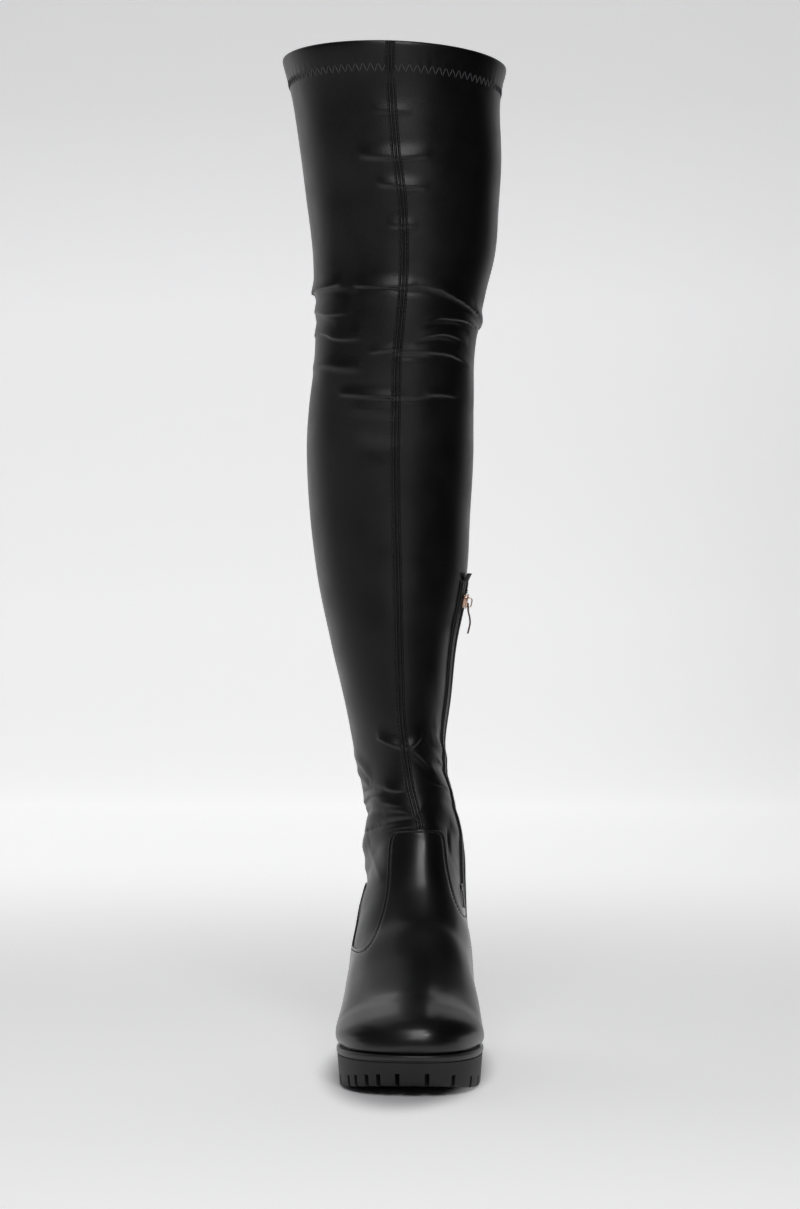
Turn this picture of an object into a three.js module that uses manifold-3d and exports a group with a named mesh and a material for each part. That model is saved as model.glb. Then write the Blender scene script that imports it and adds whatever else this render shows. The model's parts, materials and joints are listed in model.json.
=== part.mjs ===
// Thigh high boot for the wearer's right foot. A smooth leather foot, a stretch leather shaft that
// reaches the thigh, a zip on the inner side of the calf and a thick lugged sole.
// Millimetres, +Z up. The toe points towards -Y and the inner side of the leg is +X.
// The leg's axis stands over the heel at x = 0 and y = 0, and the tread rests at z = 0.

import * as THREE from 'three';
import { mergeVertices } from 'three/addons/utils/BufferGeometryUtils.js';
import Module from 'manifold-3d';

const wasm = await Module();
wasm.setup();

// Overall sizes
const BOOT_HEIGHT = 721.5; // tread to the collar, before its dip
const COLLAR_WIDTH = 160; // side to side at the collar
const COLLAR_DEPTH = 172; // front to back at the collar
const COLLAR_DIP = 6; // how much lower the collar is on the inner side
const FOOT_LENGTH = 275; // heel to toe of the sole
const BALL_WIDTH = 96; // side to side over the ball of the foot
const INSTEP_HEIGHT = 166; // tread to the top of the vamp

// Sole
const PLATFORM = 26; // what the ball of the foot stands on, above the tread
const HEEL_SEAT = 42; // the same at the heel
const TOE_SEAT = 28; // the same at the tip of the toe
const TOE_SPRING = 8; // how far the tread lifts at the tip of the toe
const MIDSOLE = 4.5; // thickness of the layer that shows as a welt
const WELT_REACH = 4.8; // how far the midsole stands out from the upper's foot line
const OUTSOLE_INSET = 0.6; // how far the outsole's edge lies inside the midsole's
const OUTSOLE_DRAFT = 1.6; // how far the outsole tapers in towards the tread
const INSOLE = 3; // thickness of the insole
const INSOLE_GAP = 1.8; // between the insole's edge and the upper's wall
const ARCH_LIFT = 11; // height of the hollow between forefoot and heel block
const HEEL_BREAST = -8; // front face of the heel block
const FOREFOOT_END = -58; // where the forefoot's tread ends
const GROOVE_PITCH = 20; // spacing of the grooves along the sole's edge
const GROOVE_WIDTH = 3;
const GROOVE_RISE = 7.5; // how far a groove climbs the side
const GROOVE_REACH = 9; // how far a groove runs in under the tread
const CHANNEL_WIDTH = 4; // channels between the tread's bars
const CHANNEL_DEPTH = 4;
const TREAD_BORDER = 17; // edge of the sole that no channel crosses

// Upper
const WALL = 1.8; // leather and lining together
const CLEARANCE = 0.3; // between pieces that lie on each other
const OVERLAY = 1.2; // thickness of vamp, counter and collar band
const BAND_DEPTH = 20; // height of the collar band
const SEAM_WIDTH = 5.4; // raised seams, front and back
const SEAM_RISE = 0.8;

// Zip
const ZIP_Y = 5; // centre line of the zip, behind the leg's axis
const ZIP_FOOT = 84; // height of the zip's lower end
const ZIP_TOP = 349; // height of the tape's upper end
const SLIDER_HEIGHT = 328; // height of the slider's middle
const TAPE_WIDTH = 16;
const TAPE = 0.8; // thickness
const COIL_WIDTH = 5.6;
const COIL = 1.7; // thickness
const SETBACK = 2; // how far the coil and the back seam stop short of what lies below them
const SLIDER_LENGTH = 11;
const SLIDER_WIDTH = 9.6;
const SLIDER_THICKNESS = 2.9;
const PULL_LENGTH = 22;
const PULL_WIDTH = 5.4;
const PULL_THICKNESS = 1.2;

// Mesh
const AROUND = 20; // faces round the leg, an even number
const HALF_SAMPLES = 60; // fine steps that measure half a section
const SOLE_ROWS = 32;
const FAR = 400; // longer than any piece that a cutter passes through

// Sections of the foot, from the toe's foot line to the ankle. Each lies in a plane that holds a
// top point on the front profile and a low point on the sole or the back of the heel.
// Y columns are shares of FOOT_LENGTH from the leg's axis. Rises are shares of the height from
// PLATFORM to INSTEP_HEIGHT, topRise above PLATFORM and lowRise above the seat. What topRise has
// above 1 is a share of a quarter of the height from INSTEP_HEIGHT to BOOT_HEIGHT. The x columns
// are shares of BALL_WIDTH: ridge at the top, keel at the low point, inner and outer where the
// section is widest, footInner and footOuter where it is open to the sole. wide is the share of
// the section's length at which it is widest, and arch the exponent of its upper curve.
const FOOT_COLUMNS = ['topY', 'topRise', 'lowY', 'lowRise', 'ridge', 'keel',
  'inner', 'outer', 'footInner', 'footOuter', 'wide', 'arch'];
const FOOT = [
  [-0.731, 0.016, -0.491, 0, 0.135, 0.05, 0.526, -0.413, 0.526, -0.413, 0, 2.4],
  [-0.738, 0.046, -0.491, 0, 0.14, 0.05, 0.53, -0.416, 0.526, -0.413, 0.04, 2.25],
  [-0.735, 0.089, -0.491, 0, 0.145, 0.05, 0.54, -0.426, 0.526, -0.413, 0.09, 2.15],
  [-0.722, 0.134, -0.491, 0, 0.15, 0.05, 0.551, -0.437, 0.526, -0.413, 0.14, 2.1],
  [-0.691, 0.179, -0.491, 0, 0.155, 0.05, 0.561, -0.446, 0.526, -0.413, 0.19, 2.05],
  [-0.63, 0.222, -0.491, 0, 0.155, 0.05, 0.567, -0.452, 0.526, -0.413, 0.23, 2],
  [-0.54, 0.276, -0.491, 0, 0.155, 0.05, 0.557, -0.452, 0.526, -0.413, 0.26, 2],
  [-0.446, 0.4, -0.393, 0, 0.15, 0.04, 0.53, -0.434, 0.49, -0.4, 0.31, 2],
  [-0.376, 0.523, -0.284, 0, 0.145, 0.02, 0.49, -0.42, 0.43, -0.385, 0.37, 2],
  [-0.327, 0.615, -0.167, 0, 0.135, 0.01, 0.473, -0.412, 0.375, -0.36, 0.42, 2],
  [-0.291, 0.7, -0.05, 0, 0.125, 0.01, 0.455, -0.405, 0.335, -0.335, 0.46, 2],
  [-0.264, 0.786, 0.058, 0, 0.115, 0.01, 0.43, -0.39, 0.32, -0.31, 0.48, 2],
  [-0.244, 0.865, 0.145, 0, 0.11, 0.01, 0.41, -0.378, 0.28, -0.265, 0.5, 2],
  [-0.23, 0.935, 0.196, 0, 0.105, 0.01, 0.4, -0.362, 0.18, -0.155, 0.5, 2],
  [-0.222, 0.99, 0.218, 0, 0.1, 0.01, 0.39, -0.348, 0.01, 0.01, 0.5, 2],
  [-0.213, 1.05, 0.227, 0.07, 0.085, 0.015, 0.385, -0.332, 0.015, 0.015, 0.5, 2],
  [-0.202, 1.12, 0.229, 0.2, 0.052, 0.02, 0.38, -0.335, 0.02, 0.02, 0.5, 2],
  [-0.191, 1.207, 0.215, 0.4, 0.017, 0.015, 0.372, -0.35, 0.015, 0.015, 0.5, 2],
  [-0.182, 1.307, 0.193, 0.643, -0.008, 0, 0.335, -0.335, 0, 0, 0.5, 2],
  [-0.176, 1.43, 0.175, 0.9, -0.029, -0.042, 0.262, -0.378, -0.042, -0.042, 0.5, 2],
  [-0.175, 1.57, 0.171, 1.164, -0.052, -0.083, 0.228, -0.438, -0.083, -0.083, 0.5, 2],
];
const BALL_ROW = 6; // the toe's sections all turn about this row's low line
const HEEL_ROW = 14; // from here up the sections are closed
const FOOT_STEP = 0.5; // part of a row between two rings of faces, up to the heel

// Sections of the shaft. Y columns are shares of COLLAR_DEPTH, heights shares of BOOT_HEIGHT and x
// columns shares of COLLAR_WIDTH. dip is the share of COLLAR_DIP that the inner side is lowered.
const LEG_COLUMNS = ['topY', 'topHeight', 'lowY', 'lowHeight', 'ridge', 'keel',
  'inner', 'outer', 'wide', 'dip'];
const BAND_START = 1 - BAND_DEPTH / BOOT_HEIGHT;
const LEG = [
  [-0.279, 0.378, 0.302, 0.342, -0.038, -0.063, 0.162, -0.31, 0.5, 0],
  [-0.279, 0.424, 0.36, 0.403, -0.043, -0.075, 0.19, -0.368, 0.49, 0],
  [-0.279, 0.48, 0.407, 0.47, -0.048, -0.084, 0.247, -0.428, 0.47, 0],
  [-0.285, 0.542, 0.424, 0.54, -0.054, -0.094, 0.266, -0.466, 0.46, 0],
  [-0.302, 0.601, 0.407, 0.601, -0.056, -0.094, 0.281, -0.48, 0.47, 0],
  [-0.331, 0.651, 0.372, 0.651, -0.05, -0.088, 0.284, -0.463, 0.5, 0],
  [-0.36, 0.691, 0.349, 0.691, -0.045, -0.078, 0.284, -0.438, 0.52, 0],
  [-0.375, 0.729, 0.349, 0.726, -0.029, -0.063, 0.305, -0.431, 0.52, 0],
  [-0.381, 0.765, 0.36, 0.762, -0.016, -0.05, 0.341, -0.438, 0.5, 0],
  [-0.395, 0.804, 0.384, 0.801, -0.013, -0.038, 0.381, -0.446, 0.5, 0.1],
  [-0.419, 0.851, 0.413, 0.847, -0.022, -0.038, 0.397, -0.469, 0.5, 0.3],
  [-0.448, 0.904, 0.442, 0.899, -0.05, -0.05, 0.409, -0.5, 0.5, 0.6],
  [-0.48, BAND_START, 0.477, BAND_START - 0.007, -0.068, -0.063, 0.402, -0.545, 0.5, 0.95],
  [-0.5, 1, 0.494, 0.993, -0.066, -0.072, 0.425, -0.575, 0.5, 1],
];

// Outlines of the overlays. The vamp is drawn from the front, x as shares of BALL_WIDTH and z as
// shares of INSTEP_HEIGHT. The counter is drawn from the side, y as shares of FOOT_LENGTH.
const VAMP_OUTLINE = [
  [-0.9, -0.1], [-0.9, 0.5], [-0.4, 0.5], [-0.3, 0.51], [-0.24, 0.55], [-0.19, 0.62],
  [-0.155, 0.7], [-0.138, 0.78], [-0.137, 0.92], [-0.12, 0.975], [-0.07, 1],
  [0.235, 1], [0.268, 0.965], [0.285, 0.87], [0.315, 0.78], [0.365, 0.69],
  [0.43, 0.625], [0.5, 0.56], [0.9, 0.54], [0.9, -0.1],
];
const COUNTER_OUTLINE = [
  [-0.3, -0.1], [-0.29, 0.18], [-0.262, 0.33], [-0.225, 0.45], [-0.18, 0.515],
  [-0.138, 0.565], [-0.1, 0.66], [-0.082, 0.74], [-0.05, 0.75], [0.1, 0.73], [0.3, 0.73],
  [0.3, -0.1],
];
const VAMP_BACK = -30; // the vamp's cutter stops here, under the counter

// How the pull tab waves, x by share of its length
const PULL_WAVE = [[0, 0], [0.25, 0.2], [0.45, 1.2], [0.65, 1.5], [0.85, 0.6], [1, -0.2]];

const SMOOTH_LEATHER = { color: 0x121213, roughness: 0.38, metalness: 0 };
const STRETCH_LEATHER = { color: 0x0e0e0f, roughness: 0.48, metalness: 0 };
const RUBBER = { color: 0x1a1a1b, roughness: 0.75, metalness: 0 };
const WELT_RUBBER = { color: 0x2a2a2b, roughness: 0.6, metalness: 0 };
const LINING = { color: 0x1d1b1a, roughness: 0.9, metalness: 0 };
const TAPE_CLOTH = { color: 0x0b0b0c, roughness: 0.9, metalness: 0 };
const COIL_PLASTIC = { color: 0x101011, roughness: 0.5, metalness: 0 };
const ROSE_GOLD = { color: 0xc79a7b, roughness: 0.25, metalness: 1 };
const BRONZE = { color: 0x5b463a, roughness: 0.35, metalness: 1 };

// Rows of a table as objects with named values
function rows(columns, table) {
  return table.map((row) => Object.fromEntries(row.map((value, k) => [columns[k], value])));
}

function smoothstep(t) {
  const s = THREE.MathUtils.clamp(t, 0, 1);
  return s * s * (3 - 2 * s);
}

const BALL_Y = FOOT[BALL_ROW][2] * FOOT_LENGTH;
const TOE_Y = FOOT[0][0] * FOOT_LENGTH;
const HEEL_Y = FOOT[HEEL_ROW][2] * FOOT_LENGTH;

// Height of the midsole's top, under the upper's foot line
function seat(y) {
  if (y < BALL_Y) {
    return THREE.MathUtils.mapLinear(y, BALL_Y, TOE_Y, PLATFORM, TOE_SEAT);
  }
  return PLATFORM + (HEEL_SEAT - PLATFORM) * smoothstep((y - BALL_Y) / (HEEL_Y - BALL_Y));
}

// Height of the tread, which lifts towards the toe
function tread(y) {
  const lift = THREE.MathUtils.clamp((BALL_Y - y) / (BALL_Y - TOE_Y), 0, 1.1);
  return TOE_SPRING * lift ** 2;
}

function footSection(row) {
  const rise = INSTEP_HEIGHT - PLATFORM;
  const ankleRise = (BOOT_HEIGHT - INSTEP_HEIGHT) / 4;
  const lowY = row.lowY * FOOT_LENGTH;
  return {
    topY: row.topY * FOOT_LENGTH,
    topZ: PLATFORM + Math.min(row.topRise, 1) * rise + Math.max(row.topRise - 1, 0) * ankleRise,
    lowY,
    lowZ: seat(lowY) + CLEARANCE + row.lowRise * rise,
    ridge: row.ridge * BALL_WIDTH,
    keel: row.keel * BALL_WIDTH,
    inner: row.inner * BALL_WIDTH,
    outer: row.outer * BALL_WIDTH,
    footInner: row.footInner * BALL_WIDTH,
    footOuter: row.footOuter * BALL_WIDTH,
    wide: row.wide,
    arch: row.arch,
    dip: 0,
  };
}

function legSection(row) {
  const keel = row.keel * COLLAR_WIDTH;
  return {
    topY: row.topY * COLLAR_DEPTH,
    topZ: row.topHeight * BOOT_HEIGHT,
    lowY: row.lowY * COLLAR_DEPTH,
    lowZ: row.lowHeight * BOOT_HEIGHT,
    ridge: row.ridge * COLLAR_WIDTH,
    keel,
    inner: row.inner * COLLAR_WIDTH,
    outer: row.outer * COLLAR_WIDTH,
    footInner: keel,
    footOuter: keel,
    wide: row.wide,
    arch: 2,
    dip: row.dip * COLLAR_DIP,
  };
}

const SECTIONS = [
  ...rows(FOOT_COLUMNS, FOOT).map(footSection),
  ...rows(LEG_COLUMNS, LEG).map(legSection),
];
const LAST_ROW = SECTIONS.length - 1;
const BAND_ROW = LAST_ROW - 1;

// A smooth curve through one column of the sections
function column(name, u) {
  const k = Math.min(Math.floor(u), LAST_ROW - 1);
  const t = u - k;
  const at = (n) => SECTIONS[THREE.MathUtils.clamp(n, 0, LAST_ROW)][name];
  const slope = (n) => (at(n + 1) - at(n - 1)) / (n === 0 || n === LAST_ROW ? 1 : 2);
  const t2 = t * t;
  const t3 = t2 * t;
  return (2 * t3 - 3 * t2 + 1) * at(k) + (t3 - 2 * t2 + t) * slope(k)
    + (3 * t2 - 2 * t3) * at(k + 1) + (t3 - t2) * slope(k + 1);
}

// The section at row u, where the toe's sections keep the ball's low line
function sectionAt(u) {
  const section = {};
  for (const name of ['topY', 'topZ', 'ridge', 'inner', 'outer', 'wide', 'arch', 'dip']) {
    section[name] = column(name, u);
  }
  const low = Math.max(u, BALL_ROW);
  for (const name of ['lowY', 'lowZ', 'keel', 'footInner', 'footOuter']) {
    section[name] = column(name, low);
  }
  if (u <= HEEL_ROW) section.lowZ = seat(section.lowY) + CLEARANCE;
  if (u >= HEEL_ROW) {
    section.footInner = section.keel;
    section.footOuter = section.keel;
  }
  section.wide = Math.max(section.wide, 0);
  return section;
}

// Half a section from the low point to the ridge, as fine points of x and share of its length
function halfCurve(section, side) {
  const far = section[side];
  const foot = side === 'inner' ? section.footInner : section.footOuter;
  const reach = far - section.keel;
  const open = THREE.MathUtils.clamp((foot - section.keel) / reach, 0, 0.999);
  const start = Math.asin(open);
  const points = [];
  for (let k = 0; k <= HALF_SAMPLES; k += 1) {
    const t = 2 * k / HALF_SAMPLES;
    if (t < 1) {
      const angle = start + (Math.PI / 2 - start) * t;
      const x = section.keel + reach * Math.sin(angle);
      points.push([x, section.wide * (1 - Math.cos(angle) / Math.cos(start))]);
    } else {
      const angle = (Math.PI / 2) * (t - 1);
      const x = section.ridge + (far - section.ridge) * Math.cos(angle) ** (2 / section.arch);
      const rise = Math.sin(angle) ** (2 / section.arch);
      points.push([x, section.wide + (1 - section.wide) * rise]);
    }
  }
  return points;
}

// Points of a section at row u, from the inner side of the foot line over the ridge to the outer
function ring(u, count) {
  const section = sectionAt(u);
  const place = ([x, share]) => {
    const y = THREE.MathUtils.lerp(section.lowY, section.topY, share);
    const level = THREE.MathUtils.lerp(section.lowZ, section.topZ, share);
    const z = u === 0 ? seat(y) + CLEARANCE : level;
    const across = (x - section.outer) / (section.inner - section.outer);
    return new THREE.Vector3(x, y, z - section.dip * across);
  };
  const halves = ['inner', 'outer'].map((side) => {
    const points = halfCurve(section, side).map(place);
    const lengths = [0];
    for (let k = 1; k < points.length; k += 1) {
      lengths.push(lengths[k - 1] + points[k].distanceTo(points[k - 1]));
    }
    const even = [];
    let k = 1;
    for (let n = 0; n <= count / 2; n += 1) {
      const goal = lengths[lengths.length - 1] * n / (count / 2);
      while (k < lengths.length - 1 && lengths[k] < goal) k += 1;
      const step = lengths[k] - lengths[k - 1];
      const t = step > 0 ? (goal - lengths[k - 1]) / step : 0;
      even.push(points[k - 1].clone().lerp(points[k], Math.min(t, 1)));
    }
    return even;
  });
  return [...halves[0], ...halves[1].reverse().slice(1)];
}

// Rows at which the upper has rings of faces
function ringRows(first, last) {
  const found = [];
  for (let u = 0; u < HEEL_ROW; u += FOOT_STEP) found.push(u);
  for (let u = HEEL_ROW; u <= LAST_ROW; u += 1) found.push(u);
  return found.filter((u) => u >= first && u <= last);
}

// Joins equal points and drops the faces that collapse
function weld(geometry) {
  for (const name of Object.keys(geometry.attributes)) {
    if (name !== 'position') geometry.deleteAttribute(name);
  }
  const welded = mergeVertices(geometry, 1e-4);
  const index = welded.index.array;
  const kept = [];
  for (let k = 0; k < index.length; k += 3) {
    const [a, b, c] = [index[k], index[k + 1], index[k + 2]];
    if (a !== b && b !== c && c !== a) kept.push(a, b, c);
  }
  welded.setIndex(kept);
  return welded;
}

// The upper's outer surface between two rows, as one welded sheet
function sheet(first, last) {
  const rings = ringRows(first, last).map((u) => ring(u, AROUND));
  const positions = rings.flat().flatMap((p) => p.toArray());
  const index = [];
  const across = AROUND + 1;
  for (let i = 0; i < rings.length - 1; i += 1) {
    for (let j = 0; j < AROUND; j += 1) {
      const a = i * across + j;
      index.push(a, a + across, a + 1, a + 1, a + across, a + across + 1);
    }
  }
  const geometry = new THREE.BufferGeometry();
  geometry.setAttribute('position', new THREE.Float32BufferAttribute(positions, 3));
  geometry.setIndex(index);
  return weld(geometry);
}

// Edges that only one face uses, in that face's direction
function openEdges(index) {
  const seen = new Set();
  for (let k = 0; k < index.length; k += 3) {
    for (let n = 0; n < 3; n += 1) seen.add(`${index[k + n]}_${index[k + (n + 1) % 3]}`);
  }
  const edges = [...seen].map((key) => key.split('_').map(Number));
  return edges.filter(([a, b]) => !seen.has(`${b}_${a}`));
}

function signedVolume(positions, index) {
  const [a, b, c] = [new THREE.Vector3(), new THREE.Vector3(), new THREE.Vector3()];
  let six = 0;
  for (let k = 0; k < index.length; k += 3) {
    a.fromArray(positions, index[k] * 3);
    b.fromArray(positions, index[k + 1] * 3);
    c.fromArray(positions, index[k + 2] * 3);
    six += a.dot(b.cross(c));
  }
  return six / 6;
}

// A closed solid between two offsets of a sheet, with rims along its open edges.
// Along the foot line the offset is level, so that the rim stays on the sole.
function thicken(surface, near, far) {
  surface.computeVertexNormals();
  const points = surface.attributes.position;
  const normals = surface.attributes.normal;
  const index = [...surface.index.array];
  const edges = openEdges(index);
  const footLine = new Set(edges.flat().filter((k) => points.getZ(k) < HEEL_SEAT * 1.1));
  const positions = [];
  for (const offset of [far, near]) {
    for (let k = 0; k < points.count; k += 1) {
      const normal = new THREE.Vector3().fromBufferAttribute(normals, k);
      if (footLine.has(k)) normal.setZ(0).normalize();
      const point = new THREE.Vector3().fromBufferAttribute(points, k);
      point.addScaledVector(normal, offset);
      if (footLine.has(k)) point.z = seat(point.y) + CLEARANCE;
      positions.push(...point.toArray());
    }
  }
  const faces = [...index];
  for (let k = 0; k < index.length; k += 3) {
    faces.push(...[index[k], index[k + 2], index[k + 1]].map((n) => n + points.count));
  }
  for (const [a, b] of edges) {
    faces.push(b, a, a + points.count, b, a + points.count, b + points.count);
  }
  const geometry = new THREE.BufferGeometry();
  geometry.setAttribute('position', new THREE.Float32BufferAttribute(positions, 3));
  geometry.setIndex(signedVolume(positions, faces) > 0 ? faces : faces.reverse());
  return geometry;
}

function toSolid(geometry) {
  const welded = weld(geometry);
  return new wasm.Manifold(new wasm.Mesh({
    numProp: 3,
    vertProperties: new Float32Array(welded.attributes.position.array),
    triVerts: new Uint32Array(welded.index.array),
  }));
}

function toGeometry(solid) {
  const mesh = solid.getMesh();
  const geometry = new THREE.BufferGeometry();
  geometry.setAttribute('position', new THREE.Float32BufferAttribute(mesh.vertProperties, 3));
  geometry.setIndex([...mesh.triVerts]);
  return geometry;
}

// A prism along X with a side outline of y and z
function prismX(outline, fromX, toX) {
  const shape = new THREE.Shape(outline.map(([y, z]) => new THREE.Vector2(y, z)));
  const options = { depth: toX - fromX, bevelEnabled: false, curveSegments: 8 };
  const geometry = new THREE.ExtrudeGeometry(shape, options).translate(0, 0, fromX);
  return geometry.applyMatrix4(new THREE.Matrix4().makeBasis(
    new THREE.Vector3(0, 1, 0),
    new THREE.Vector3(0, 0, 1),
    new THREE.Vector3(1, 0, 0),
  ));
}

// A prism along Y with a front outline of x and z
function prismY(outline, fromY, toY) {
  const shape = new THREE.Shape(outline.map(([x, z]) => new THREE.Vector2(x, z)));
  const options = { depth: toY - fromY, bevelEnabled: false };
  const geometry = new THREE.ExtrudeGeometry(shape, options).translate(0, 0, -toY);
  return geometry.applyMatrix4(new THREE.Matrix4().makeBasis(
    new THREE.Vector3(1, 0, 0),
    new THREE.Vector3(0, 0, 1),
    new THREE.Vector3(0, -1, 0),
  ));
}

function part(name, geometry, finish) {
  const mesh = new THREE.Mesh(geometry, new THREE.MeshStandardMaterial(finish));
  mesh.name = name;
  return mesh;
}

// A skin over the upper, between two heights above its surface and clear of the midsole
function skin(low, thickness) {
  const raised = midsoleShape().translate(0, 0, CLEARANCE);
  return toSolid(thicken(sheet(0, LAST_ROW), low, low + thickness)).subtract(toSolid(raised));
}

// Foot line of the upper seen from above, as two lists from the toe's tip to the heel
function footLine() {
  const toe = ring(0, 4 * AROUND);
  const middle = toe.length >> 1;
  const sides = { inner: toe.slice(0, middle + 1).reverse(), outer: toe.slice(middle) };
  for (let u = BALL_ROW + 0.25; u <= HEEL_ROW; u += 0.25) {
    const points = ring(u, AROUND);
    sides.inner.push(points[0]);
    sides.outer.push(points[AROUND]);
  }
  return sides;
}

const FOOT_LINE = footLine();

// One side of the foot line moved outwards, level, by an offset
function moved(points, offset, sign) {
  return points.map((point, k) => {
    const before = points[Math.max(k - 1, 0)];
    const after = points[Math.min(k + 1, points.length - 1)];
    const along = new THREE.Vector2(after.x - before.x, after.y - before.y).normalize();
    if (k === 0) along.set(sign, 0);
    if (k === points.length - 1) along.set(-sign, 0);
    return new THREE.Vector2(point.x + along.y * sign * offset, point.y - along.x * sign * offset);
  });
}

// The foot line at an offset
function outline(offset) {
  return {
    inner: moved(FOOT_LINE.inner, offset, 1),
    outer: moved(FOOT_LINE.outer, offset, -1),
  };
}

function xAt(points, y) {
  let k = 1;
  while (k < points.length - 1 && points[k].y < y) k += 1;
  const [a, b] = [points[k - 1], points[k]];
  const t = THREE.MathUtils.clamp((y - a.y) / (b.y - a.y || 1), 0, 1);
  return THREE.MathUtils.lerp(a.x, b.x, t);
}

// A layer of the sole between two outlines and two heights that follow y
function layer(lowOutline, lowZ, highOutline, highZ) {
  const positions = [];
  for (let k = 0; k <= SOLE_ROWS; k += 1) {
    const share = (1 - Math.cos(Math.PI * k / SOLE_ROWS)) / 2;
    for (const [line, height] of [[lowOutline, lowZ], [highOutline, highZ]]) {
      const first = line.inner[0].y;
      const last = line.inner[line.inner.length - 1].y;
      const y = THREE.MathUtils.lerp(first, last, share);
      positions.push(xAt(line.outer, y), y, height(y), xAt(line.inner, y), y, height(y));
    }
  }
  const index = [];
  for (let k = 0; k < SOLE_ROWS; k += 1) {
    const a = 4 * k;
    for (const [p, q] of [[0, 1], [1, 3], [3, 2], [2, 0]]) {
      index.push(a + p, a + q, a + p + 4, a + q, a + q + 4, a + p + 4);
    }
  }
  const end = 4 * SOLE_ROWS;
  index.push(0, 2, 1, 1, 2, 3, end, end + 1, end + 2, end + 1, end + 3, end + 2);
  const ordered = signedVolume(positions, index) > 0 ? index : index.reverse();
  const geometry = new THREE.BufferGeometry();
  geometry.setAttribute('position', new THREE.Float32BufferAttribute(positions, 3));
  geometry.setIndex(ordered);
  return weld(geometry);
}

// Boxes that cut a groove into the sole's edge at every pitch
function edgeGrooves(line) {
  const around = [...line.inner, ...[...line.outer].reverse()];
  const cuts = [];
  let travelled = GROOVE_PITCH / 2;
  for (let k = 1; k < around.length; k += 1) {
    const [a, b] = [around[k - 1], around[k]];
    const step = a.distanceTo(b);
    while (travelled < step) {
      const spot = a.clone().lerp(b, travelled / step);
      const box = new THREE.BoxGeometry(2 * GROOVE_REACH, GROOVE_WIDTH, 2 * GROOVE_RISE);
      box.rotateZ(Math.atan2(b.y - a.y, b.x - a.x) + Math.PI / 2);
      box.translate(spot.x, spot.y, tread(spot.y));
      cuts.push(toSolid(box));
      travelled += GROOVE_PITCH;
    }
    travelled -= step;
  }
  return cuts;
}

// Channels that part the tread into bars, under the forefoot and under the heel
function treadChannels(line) {
  const starts = [
    [BALL_Y - GROOVE_PITCH / 2, FOREFOOT_END - GROOVE_PITCH / 2],
    [HEEL_BREAST + GROOVE_PITCH, HEEL_Y - GROOVE_PITCH / 2],
  ];
  const cuts = [];
  for (const [first, last] of starts) {
    for (let y = first; y < last; y += GROOVE_PITCH) {
      const left = xAt(line.outer, y) + TREAD_BORDER;
      const right = xAt(line.inner, y) - TREAD_BORDER;
      const box = new THREE.BoxGeometry(right - left, CHANNEL_WIDTH, 2 * CHANNEL_DEPTH);
      box.translate((left + right) / 2, y, tread(y));
      cuts.push(toSolid(box));
    }
  }
  return cuts;
}

// The hollow under the arch, between forefoot and heel block
function archCutter() {
  const outlinePoints = [
    [FOREFOOT_END, -ARCH_LIFT],
    [FOREFOOT_END, 0],
    [FOREFOOT_END + ARCH_LIFT, 0.7 * ARCH_LIFT],
    [FOREFOOT_END + 2 * ARCH_LIFT, ARCH_LIFT],
    [HEEL_BREAST - ARCH_LIFT / 3, ARCH_LIFT],
    [HEEL_BREAST, 0.7 * ARCH_LIFT],
    [HEEL_BREAST, -ARCH_LIFT],
  ];
  return toSolid(prismX(outlinePoints, -FAR, FAR));
}

function outsole() {
  const high = outline(WELT_REACH - OUTSOLE_INSET);
  const low = outline(WELT_REACH - OUTSOLE_INSET - OUTSOLE_DRAFT);
  const top = (y) => seat(y) - MIDSOLE - CLEARANCE;
  let solid = toSolid(layer(low, tread, high, top)).subtract(archCutter());
  for (const cut of [...edgeGrooves(low), ...treadChannels(low)]) {
    solid = solid.subtract(cut);
  }
  return part('outsole', toGeometry(solid), RUBBER);
}

function midsoleShape() {
  const edge = outline(WELT_REACH);
  return layer(edge, (y) => seat(y) - MIDSOLE, edge, seat);
}

function midsole() {
  return part('midsole', midsoleShape(), WELT_RUBBER);
}

function insole() {
  const edge = outline(-WALL - INSOLE_GAP);
  const low = (y) => seat(y) + CLEARANCE;
  const geometry = layer(edge, low, edge, (y) => low(y) + INSOLE);
  return part('insole', geometry, LINING);
}

function upper() {
  return part('upper', weld(thicken(sheet(0, LAST_ROW), -WALL, 0)), STRETCH_LEATHER);
}

function counterCutter(grow) {
  const points = COUNTER_OUTLINE.map(([y, z]) => [y * FOOT_LENGTH - grow, z * INSTEP_HEIGHT + grow]);
  return toSolid(prismX(points, -FAR, FAR));
}

function vamp() {
  const points = VAMP_OUTLINE.map(([x, z]) => [x * BALL_WIDTH, z * INSTEP_HEIGHT]);
  const solid = skin(CLEARANCE, OVERLAY)
    .intersect(toSolid(prismY(points, -FAR, VAMP_BACK)))
    .subtract(counterCutter(CLEARANCE));
  return part('vamp', toGeometry(solid), SMOOTH_LEATHER);
}

// The tape's place on the inner side of the leg, from the side
function zipOutline(halfWidth, low, high) {
  return [
    [ZIP_Y - halfWidth, low],
    [ZIP_Y + halfWidth, low],
    [ZIP_Y + halfWidth, high],
    [ZIP_Y - halfWidth, high],
  ];
}

function heelCounter() {
  const halfWidth = TAPE_WIDTH / 2 + CLEARANCE;
  const slot = toSolid(prismX(zipOutline(halfWidth, ZIP_FOOT - CLEARANCE, ZIP_TOP), 0, FAR));
  const solid = skin(CLEARANCE, OVERLAY).intersect(counterCutter(0)).subtract(slot);
  return part('heel_counter', toGeometry(solid), SMOOTH_LEATHER);
}

function collarBand() {
  const geometry = thicken(sheet(BAND_ROW, LAST_ROW), CLEARANCE, CLEARANCE + OVERLAY);
  return part('collar_band', geometry, STRETCH_LEATHER);
}

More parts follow.
